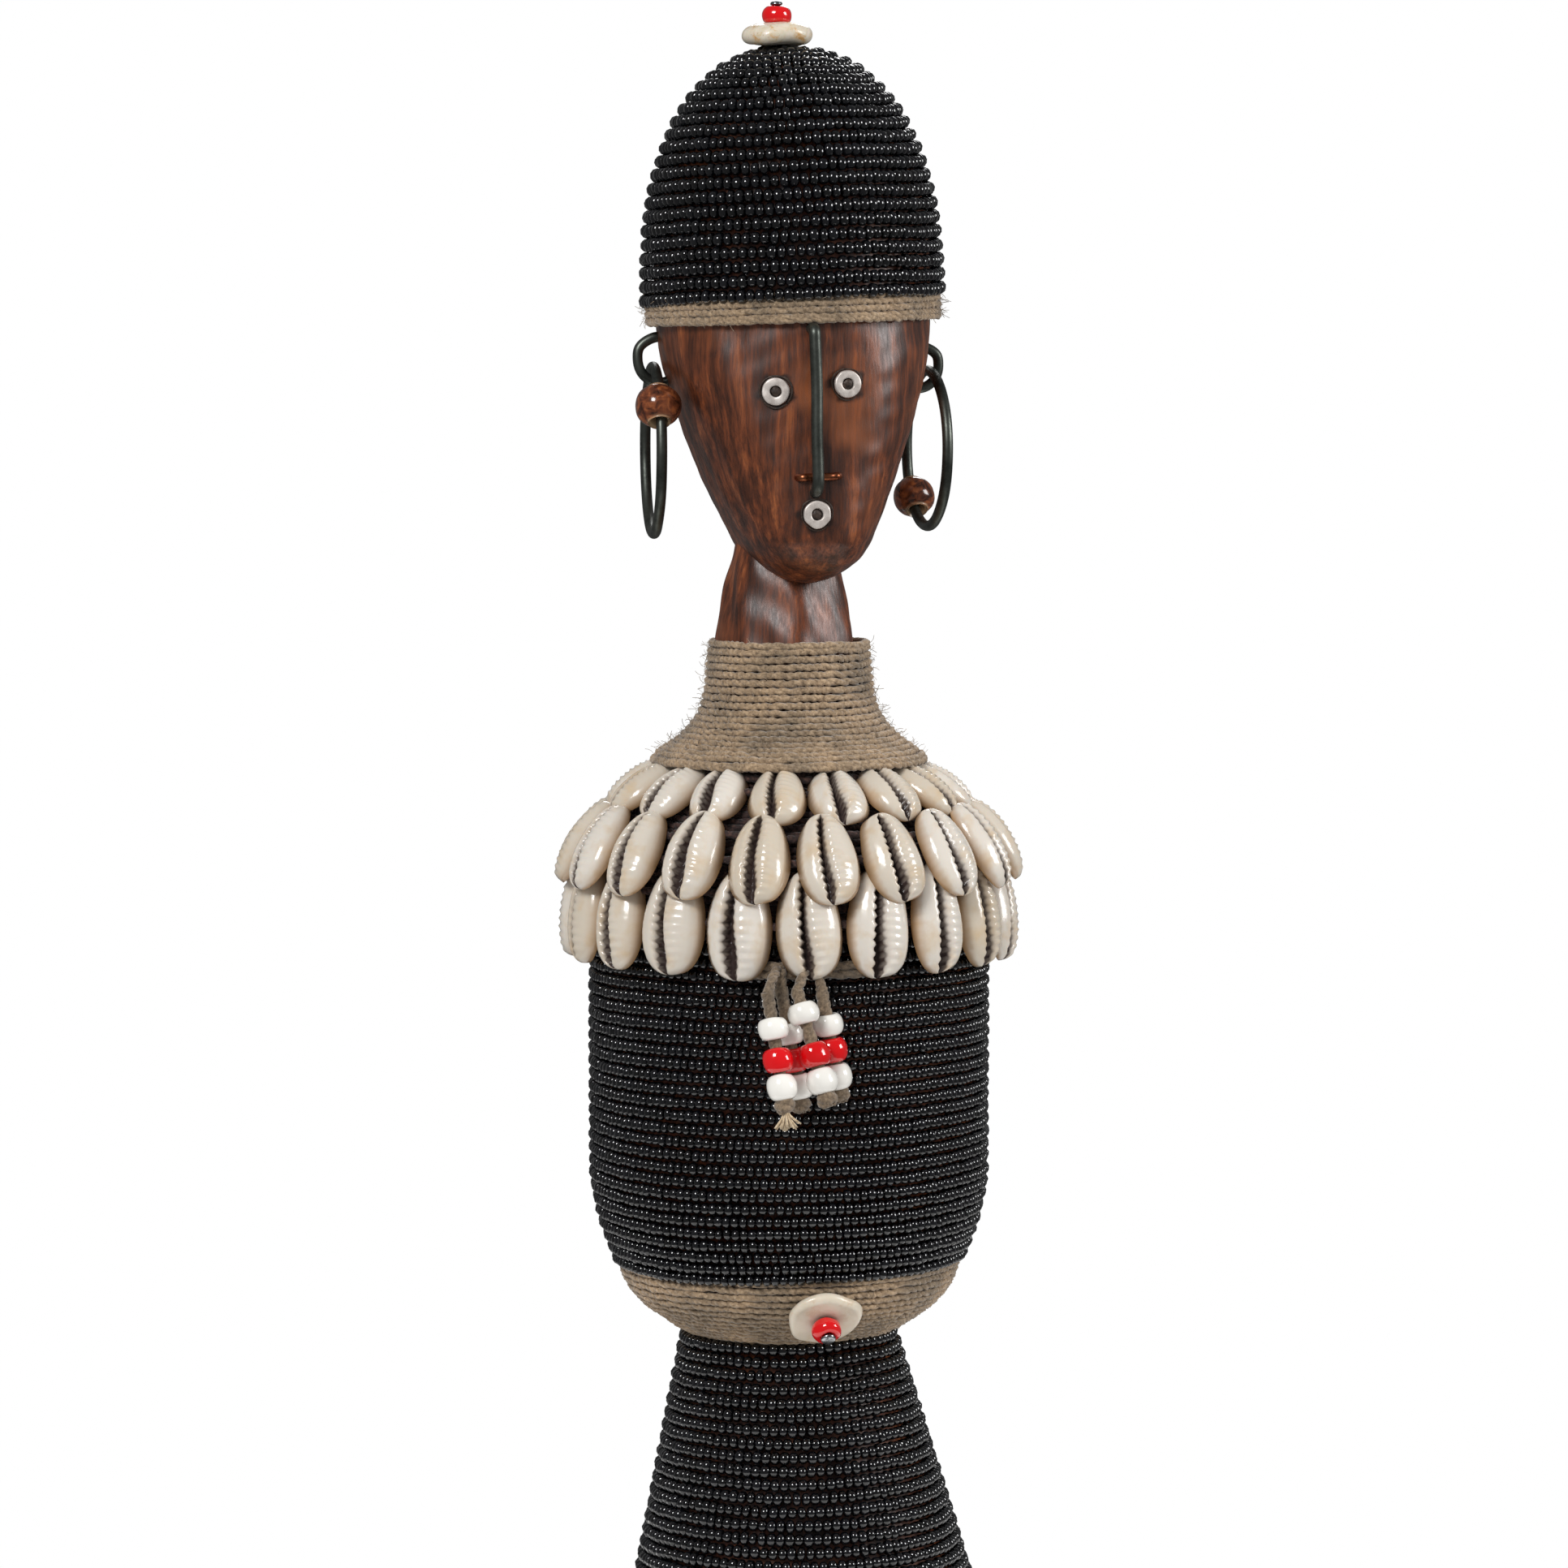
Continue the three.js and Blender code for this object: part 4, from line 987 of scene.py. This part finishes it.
backing_line = offset([[TORSO_R, SHOULDER_Z - 0.4], *smooth_path(SHOULDER_LINE, 40)[1:-6]],
                      GAP + 1.5)
twine_band("backing_cords", "cowrie_backing", backing_line, 35, pitch=1.7, fibres=0, strand=1.8,
           yarn=HIDE_CORD, slot="dark_cord", sway=0.3)


# ---- Face: rings on pins, the nose wire and the nostril wire

def face_y(x, z):
    """The face's depth at a spot, from the head's axis."""
    heights = [row[0] for row in FACE]
    half, front, n = (np.interp(z - CHIN_Z, heights, [row[i] for row in FACE]) for i in (1, 2, 4))
    return -front * (1 - abs(x / half) ** n) ** (1 / n)


def ring_section(outer, hole, thick, round_by, steps=5):
    """The section of a flat ring with rounded edges, about Z, lying on z = 0."""
    corners = [(outer - round_by, round_by, -90), (outer - round_by, thick - round_by, 0),
               (hole + round_by, thick - round_by, 90), (hole + round_by, round_by, 180)]
    section = []
    for r, z, start in corners:
        for step in range(steps):
            a = math.radians(start + 90 * step / (steps - 1))
            section.append([r + round_by * math.cos(a), z + round_by * math.sin(a)])
    return section


def studded_ring(name, node, pin_node, seed):
    """A flat ring on its pin, set square to the face, with the scores that its cutter left."""
    x, z = RINGS[name]
    lean = math.atan2(face_y(x + 2, z) - face_y(x - 2, z), 4)
    stand = HEAD @ Matrix.Translation((x, face_y(x, z) - 0.15, z)) @ Matrix.Rotation(lean, 4, "Z") \
        @ Matrix.Rotation(math.pi / 2, 4, "X")
    section = ring_section(2.75, 1.15, 1.05, 0.32)
    ring = shaped(name + "_ring", turned(section, 48), (0.05, 2, seed), ALUMINIUM, stand)
    put(ring, "figure", "aluminium", node)
    pin_line = [[0, -3], [1.05, -3], [1.05, 0.35], [1.0, 0.6], [0.8, 0.8], [0.45, 0.93], [0, 0.97]]
    pin = shaped(name + "_pin", turned(pin_line, 28), (0.05, 1.2, seed + 1), PIN_WOOD, stand)
    put(pin, "figure", "dark_wood", pin_node)
    # The cutter that let the ring in has scored the wood round it.
    draw = np.random.default_rng(seed)
    scores = []
    for _ in range(3):
        a = np.linspace(0, draw.uniform(2.2, 5.6), 40) + draw.uniform(0, 6.28)
        r = 3.05 + 0.25 * draw.random() + 0.12 * np.sin(3 * a)
        scores.append(wire(about_z(a, r, 0.12), 0.13, 6))
    scored = plain_mesh(name + "_scores", *joined(scores), PIN_WOOD, stand)
    put(scored, "figure", "dark_wood", "carved_figure")


studded_ring("left_eye", "eye_ring_left", "eye_pin_left", 61)
studded_ring("right_eye", "eye_ring_right", "eye_pin_right", 63)
studded_ring("mouth", "mouth_ring", "mouth_pin", 65)

NOSE_X = -1.7
NOSTRIL_X = -1.0
NOSE_Y = -(FACE_DEPTH + 3.35)
nose_top, nose_low, nostril_z = BRIM_Z - 1.2, CHIN_Z + 18.6, CHIN_Z + 21.7
nose_path = smooth_path([
    (NOSE_X, -FACE_DEPTH + 5, nose_top - 0.3), (NOSE_X, -FACE_DEPTH, nose_top - 0.1),
    (NOSE_X, NOSE_Y + 0.5, nose_top - 0.5), (NOSE_X, NOSE_Y, nose_top - 3), (NOSE_X + 0.12, NOSE_Y,
                                                                             nose_top - 12),
    (NOSE_X - 0.05, NOSE_Y, nose_low + 12), (NOSE_X, NOSE_Y, nose_low + 5), (NOSE_X, NOSE_Y + 0.5,
                                                                             nose_low + 1.5),
    (NOSE_X, -FACE_DEPTH, nose_low), (NOSE_X, -FACE_DEPTH + 5, nose_low)], 90)
nose = shaped("nose_wire_bent", wire(nose_path, 1.2, 20), (0.03, 9, 71), IRON, HEAD)
put(nose, "figure", "iron", "nose_wire")

nostril_y = -FACE_DEPTH - GAP - 0.65
nostril_path = smooth_path([
    (NOSTRIL_X - 4.2, -FACE_DEPTH + 3, nostril_z - 0.1), (NOSTRIL_X - 4.1, -FACE_DEPTH + 0.3,
                                                          nostril_z),
    (NOSTRIL_X - 3.4, nostril_y - 0.25, nostril_z), (NOSTRIL_X - 2, nostril_y - 0.1,
                                                     nostril_z + 0.05),
    (NOSTRIL_X + 2, nostril_y - 0.1, nostril_z), (NOSTRIL_X + 3.4, nostril_y - 0.25,
                                                  nostril_z + 0.1),
    (NOSTRIL_X + 4.1, -FACE_DEPTH + 0.3, nostril_z + 0.1), (NOSTRIL_X + 4.2, -FACE_DEPTH + 3,
                                                            nostril_z + 0.1)], 60)
nostril = plain_mesh("nostril_wire", *wire(nostril_path, 0.78, 16), COPPER, HEAD)
put(nostril, "figure", "copper", "nostril_pin")


# ---- Ears: a wire loop in each side of the head, a ring hung in it, a wooden bead on the ring

LOOP_X = HEAD_R - 1.1
EAR_Y = 5
RING_WIRE = 2.2
BEAD_PLAY = 0.4
EARRINGS = [
    {"side": "left", "sign": -1, "loop_z": 288.5, "loop_r": 4.65, "ring_r": 16.9, "splay": 4,
     "centre": (-27.026, EAR_Y, 269.464), "bead": (9.3, 8.3, 56)},
    {"side": "right", "sign": 1, "loop_z": 285.6, "loop_r": 4.35, "ring_r": 15.9, "splay": 3,
     "centre": (29.816, EAR_Y, 269.623), "bead": (8.5, 7.6, -131)},
]


def wooden_bead(diameter, length, hole):
    """The section and the bare rim of a turned bead, about Z and about its middle."""
    half, outer = length / 2, diameter / 2
    line = []
    for t in np.linspace(-1, 1, 33):
        z = half * math.sin(t * math.pi / 2)
        line.append([max(hole + 0.45, outer * (1 - abs(z / half) ** 2.3) ** (1 / 2.1)), z])
    line[0], line[-1] = [hole + 0.45, -half + 0.1], [hole + 0.45, half - 0.1]
    inner = [[hole, half - 0.4], [hole, 0], [hole, -half + 0.4]]
    return line + inner


for ear in EARRINGS:
    side, sign, loop_r, ring_r = ear["side"], ear["sign"], ear["loop_r"], ear["ring_r"]
    a = np.linspace(-math.radians(135), math.radians(135), 72)
    loop = np.column_stack([sign * (LOOP_X + loop_r * np.cos(a)), np.full(72, EAR_Y),
                            ear["loop_z"] + loop_r * np.sin(a)])
    loop[:, 0] += sign * 0.4 * np.exp(-((a - 0.6) / 0.4) ** 2)
    piece = shaped("ear_wire_" + side, wire(loop, 1.05, 18), (0.05, 8, 73), IRON, HEAD)
    put(piece, "figure", "iron", "ear_loop_" + side)

    hang = Matrix.Translation(ear["centre"]) @ Matrix.Rotation(sign * math.radians(ear["splay"]), 4,
                                                               "Z")
    a = np.arange(144) * 2 * np.pi / 144
    circle = np.column_stack([np.zeros(144), ring_r * np.sin(a), ring_r * np.cos(a)])
    hoop = wire(circle, RING_WIRE / 2, 18, closed=True)
    ring = shaped("earring_wire_" + side, hoop, (0.05, 12, 74), IRON, hang)
    put(ring, "earring_" + side, "iron", "earring_ring_" + side)

    diameter, length, from_top = ear["bead"]
    sagitta = length ** 2 / (16 * ring_r)
    turn = hang @ Matrix.Translation((sign * BEAD_PLAY, 0,
                                      0)) @ Matrix.Rotation(math.radians(from_top), 4, "X") \
        @ Matrix.Translation((0, 0, ring_r - sagitta)) @ Matrix.Rotation(math.pi / 2, 4, "X")
    section = wooden_bead(diameter, length, 1.8)
    points, faces = turned(section, 40)
    radius = np.hypot(points[:, 0], points[:, 1])
    bare = np.clip(1 - (radius - 1.95) / 0.5, 0, 1) * (np.abs(points[:, 2]) > length * 0.3)
    bead = plain_mesh("earring_wood_" + side, uneven(points, 0.12, 5, 75), faces, BEAD_WOOD, turn)
    draw = np.random.default_rng(76)
    paint_attribute(bead, "rim", np.clip(bare * draw.uniform(0.5, 1.4, len(bare)), 0, 1))
    put(bead, "earring_bead_" + side, "varnished_bead", "earring_bead_" + side)


# ---- Crown and navel: a bone disc and a red glass bead on a nail

def nail_section(length, head):
    """A nail from its point up to its domed head. head is the head's radius."""
    return [[0, -length], [0.25, -length], [0.75, 2 - length], [0.75, -0.1], [head * 0.85, 0],
            [head * 0.98, 0.12],
            [head, 0.35], [head * 0.89, 0.6], [head * 0.56, 0.8], [0, 0.87]]


def disc_section(outer, hole, thick):
    """A disc ground round at its edge, thicker in the middle, with a drilled hole."""
    half = thick / 2
    line = []
    for t in np.linspace(-90, 90, 17):
        a = math.radians(t)
        line.append([outer - half * 0.95 * (1 - math.cos(a)), half * 0.86 * math.sin(a)])
    line += [[outer * 0.6, half * 0.96], [hole + 0.35, half], [hole, half - 0.25], [hole, 0.0],
             [hole, -half + 0.25], [hole + 0.35, -half], [outer * 0.6, -half * 0.96]]
    return line


def glass_section(outer, hole, height, flat, shoulder):
    """A glass bead. flat is for its foot, shoulder is how far its ends draw in, both 0 to 1."""
    half = height / 2
    line = []
    for t in np.linspace(-90, 90, 19):
        a = math.radians(t)
        bulge = half * (1 - flat) if t < 0 else half
        line.append([outer - half * shoulder * (1 - math.cos(a)) * (0.55 if t < 0 and flat else 1),
                     bulge * math.sin(a) if t < 0 and not flat else half * math.sin(a)])
    return line + [[hole, half - 0.25], [hole, 0.0], [hole, -half + 0.25]]


DISC_HOLE_R = 1.15


def pinned_disc(where, stand, speckled, disc_d, disc_thick, disc_at, bead_at, nail_at,
                nail_length, nail_head, seed):
    """Disc, bead and nail along the Z of stand."""
    section = disc_section(disc_d / 2, DISC_HOLE_R, disc_thick)
    disc = shaped(where + "_bone", turned(section, 72), (0.22, 7, seed), BONE, stand, disc_at)
    paint_attribute(disc, "speckled", speckled)
    put(disc, where + "_disc", "bone", where + "_disc")
    section = glass_section(3.0, DISC_HOLE_R, 3.3, 0.6, 0.85)
    bead = shaped(where + "_glass", turned(section, 40), (0.09, 3, seed + 1), RED_GLASS, stand,
                  bead_at)
    paint_attribute(bead, "shade", 0.5)
    put(bead, where + "_bead", "red_bead", where + "_bead")
    points, faces = turned(nail_section(nail_length, nail_head), 24)
    nail = plain_mesh(where + "_nail_turned", points + [0, 0, nail_at], faces, STEEL, stand)
    put(nail, "figure", "steel", where + "_nail")


CAP_TOP_Z = SKULL_Z + SKULL_HEIGHT + GAP + CAP_BEAD
pinned_disc("finial", HEAD @ Matrix.Translation((FINIAL_X, 0, 0)), 1.0, 14.4, 4.6, CAP_TOP_Z + 2.0,
            CAP_TOP_Z + 6.15, CAP_TOP_Z + 8.0, 17.5, 1.24, 81)
navel_at = Matrix.Translation((0.592, -33.895, 97.2)) \
    @ Euler((math.radians(134), 0, math.radians(1)), "XYZ").to_matrix().to_4x4()
pinned_disc("navel", navel_at, 0.0, 14.9, 3.0, 0, 3.35, 5.2, 17.4, 1.5, 84)


# ---- Four cord pendants, three glass beads on each

STRINGS = {
    "a": {"start": (-13.415, -48.374, 162.9), "up": (-0.11485, 0.1962, 0.97381),
          "beads": (5.7, 11.95, 17.3), "length": 25.6, "body": "string_a", "exit": -14.0,
          "end": RAW_COTTON},
    "b": {"start": (-9.761, -43.314, 163.2), "up": (-0.16607, 0.04462, 0.9851),
          "beads": (7.65, 12.95, 18.3), "length": 22.8, "body": "strings_back", "exit": -13.0,
          "end": STRING_COTTON},
    "c": {"start": (-7.193, -47.559, 163.2), "up": (-0.22537, 0.22317, 0.94837),
          "beads": (3.2, 11.65, 17), "length": 22.2, "body": "string_c", "exit": -6.2,
          "end": STRING_COTTON},
    "d": {"start": (-1.859, -44.361, 163.2), "up": (-0.1672, 0.01573, 0.9858),
          "beads": (6, 11.05, 16.4), "length": 21.3, "body": "strings_back", "exit": -4.6,
          "end": STRING_COTTON},
}
STRING_BEADS = [("upper", 4.4, "white_bead", WHITE_GLASS), ("middle", 4.9, "red_bead", RED_GLASS),
                ("lower", 5.2, "white_bead", WHITE_GLASS)]


KNOT_BELOW_BEAD = 2.9
FRAYED_FIBRES = 46


def frayed_string(name, string, seed):
    """A short twisted string with a knot and a cut, opened-out end."""
    start, up = np.array(string["start"]), np.array(string["up"])
    draw = np.random.default_rng(seed)
    side = np.cross(up, [0, 1, 0])
    side /= np.linalg.norm(side)
    other = np.cross(up, side)
    knot = string["beads"][2] + KNOT_BELOW_BEAD
    down = np.linspace(-1.6, knot + 0.3, 40)
    path = start - np.outer(down, up)
    a = np.linspace(0, 4.4 * np.pi, 50)
    coil = start - np.outer(knot + 0.15 + 1.1 * a / a[-1], up) \
        + 0.85 * (np.outer(np.cos(a), side) + np.outer(np.sin(a), other))
    ply = twisted("pendant_string_" + name, path_mesh(path, coil), 2.9, 4.6, 0.4, 0.2, 8,
                  STRING_COTTON)
    put(ply, string["body"], "twine", "pendant_cord_" + name)
    ends, tail = [], max(string["length"] - knot, 2.2) - 0.6
    for _ in range(FRAYED_FIBRES):
        angle, spread, reach = draw.uniform(0, 6.28), draw.uniform(0.1, 1), draw.uniform(0.75, 1.05)
        out = (side * math.cos(angle) + other * math.sin(angle)) * spread
        knots = [start - (knot + 0.7) * up + out * 0.5,
                 start - (knot + 0.7 + tail * 0.5 * reach) * up + out * 0.75,
                 start - (knot + 0.7 + tail * reach) * up + out * (1.0 + 0.35 * tail)]
        ends.append(wire(smooth_path(knots, 7), 0.13 + 0.14 * draw.random(), 5))
    fray = plain_mesh("pendant_fray_" + name, *joined(ends), string["end"])
    put(fray, string["body"], "twine", "pendant_cord_" + name)


# Each bead is this much shorter than its share of the string, so that neighbours slide clear.
BEAD_SLACK = 0.15


def string_bead(name, part, height, slot, glass, string, distance, seed):
    """One glass bead, its middle that far down its string."""
    up = Vector(string["up"])
    place = Vector(string["start"]) - up * distance
    turn = Vector((0, 0, 1)).rotation_difference(up)
    stand = Matrix.Translation(place) @ turn.to_matrix().to_4x4()
    shape = turned(glass_section(3.1, 1.5, height - BEAD_SLACK, 0, 0.58), 44)
    bead = shaped("pendant_glass_" + name + "_" + part, shape, (0.05, 4, seed), glass, stand)
    paint_attribute(bead, "shade", np.random.default_rng(seed).random())
    put(bead, "bead_" + name + "_" + part, slot, "pendant_bead_" + name + "_" + part)


for i, (name, string) in enumerate(STRINGS.items()):
    frayed_string(name, string, 90 + i)
    for (part, height, slot, glass), distance in zip(STRING_BEADS, string["beads"]):
        string_bead(name, part, height, slot, glass, string, distance, 100 + i)

# The tie behind the lower shells, and the strings' upper ends that come down from it.
TIE_R = 41.5
ROOT_R = 42.4
tie_paths = []
for height in (167.0, 168.6):
    a = np.radians(np.linspace(-24.5, 9.5, 40))
    tie_paths.append(np.column_stack([TIE_R * np.sin(a), -TIE_R * np.cos(a), np.full(40, height)]))
for string in STRINGS.values():
    start, up = np.array(string["start"]), np.array(string["up"])
    a = math.radians(string["exit"])
    root = np.array([ROOT_R * math.sin(a), -ROOT_R * math.cos(a), 168.4])
    tie_paths.append(smooth_path([root, (root + start) / 2 + [0, 0, 1.4], start + up * 1.3], 12))
ties = twisted("pendant_ties", path_mesh(*tie_paths), 2.3, 4.6, 0.5, 0.2, 6, STRING_COTTON)
put(ties, "figure", "twine", "pendant_anchor")


# ---- Floor and light

FLOOR_R = 0.19
LAMP_AIM = Vector((0, 0, 0.2))
# Each lamp's name, place, size in metres and power in watts.
LAMPS = [("key", (-0.75, -0.95, 1.0), 0.45, 12), ("fill", (1.05, -0.5, 0.6), 0.45, 7),
         ("rim", (0.3, 1.1, 0.9), 0.5, 3)]


def studio():
    floor = bpy.data.meshes.new("floor")
    a = np.arange(96) * 2 * np.pi / 96
    floor.from_pydata([(FLOOR_R * math.cos(t), FLOOR_R * math.sin(t), 0) for t in a], [],
                      [tuple(range(96))])
    n = Finish("pale_matt_floor")
    tone = n.add("ShaderNodeTexNoise", {"Vector": n.place, "Scale": 2.0}).outputs["Fac"]
    floor.materials.append(n.settle(Base_Color=n.mix(tone, "#f6f5f3", "#fbfaf8"), Roughness=0.9))
    ground = bpy.data.objects.new("floor", floor)
    bpy.context.collection.objects.link(ground)
    world = bpy.data.worlds.new("studio")
    world.use_nodes = True
    # White walls far off: plain white to look at, soft light on the doll, dim in glass and metal.
    n = Nodes(world.node_tree)
    ray = n.add("ShaderNodeLightPath").outputs
    lit = n.add("ShaderNodeMapRange", {0: ray["Is Glossy Ray"], 3: 0.52, 4: 0.12}).outputs[0]
    seen = n.add("ShaderNodeMix", {0: ray["Is Camera Ray"], 2: lit, 3: 1.0}).outputs[0]
    sky = world.node_tree.nodes["Background"]
    n.feed(sky.inputs["Color"], linear("#ffffff"))
    n.feed(sky.inputs["Strength"], seen)
    bpy.context.scene.world = world
    for name, place, size, power in LAMPS:
        data = bpy.data.lights.new(name, "AREA")
        data.shape = "RECTANGLE"
        data.size = data.size_y = size
        data.energy = power
        lamp = bpy.data.objects.new(name, data)
        lamp.location = place
        lamp.rotation_euler = (LAMP_AIM - Vector(place)).to_track_quat("-Z", "Y").to_euler()
        bpy.context.collection.objects.link(lamp)
    bpy.context.scene.view_settings.view_transform = "Standard"


studio()
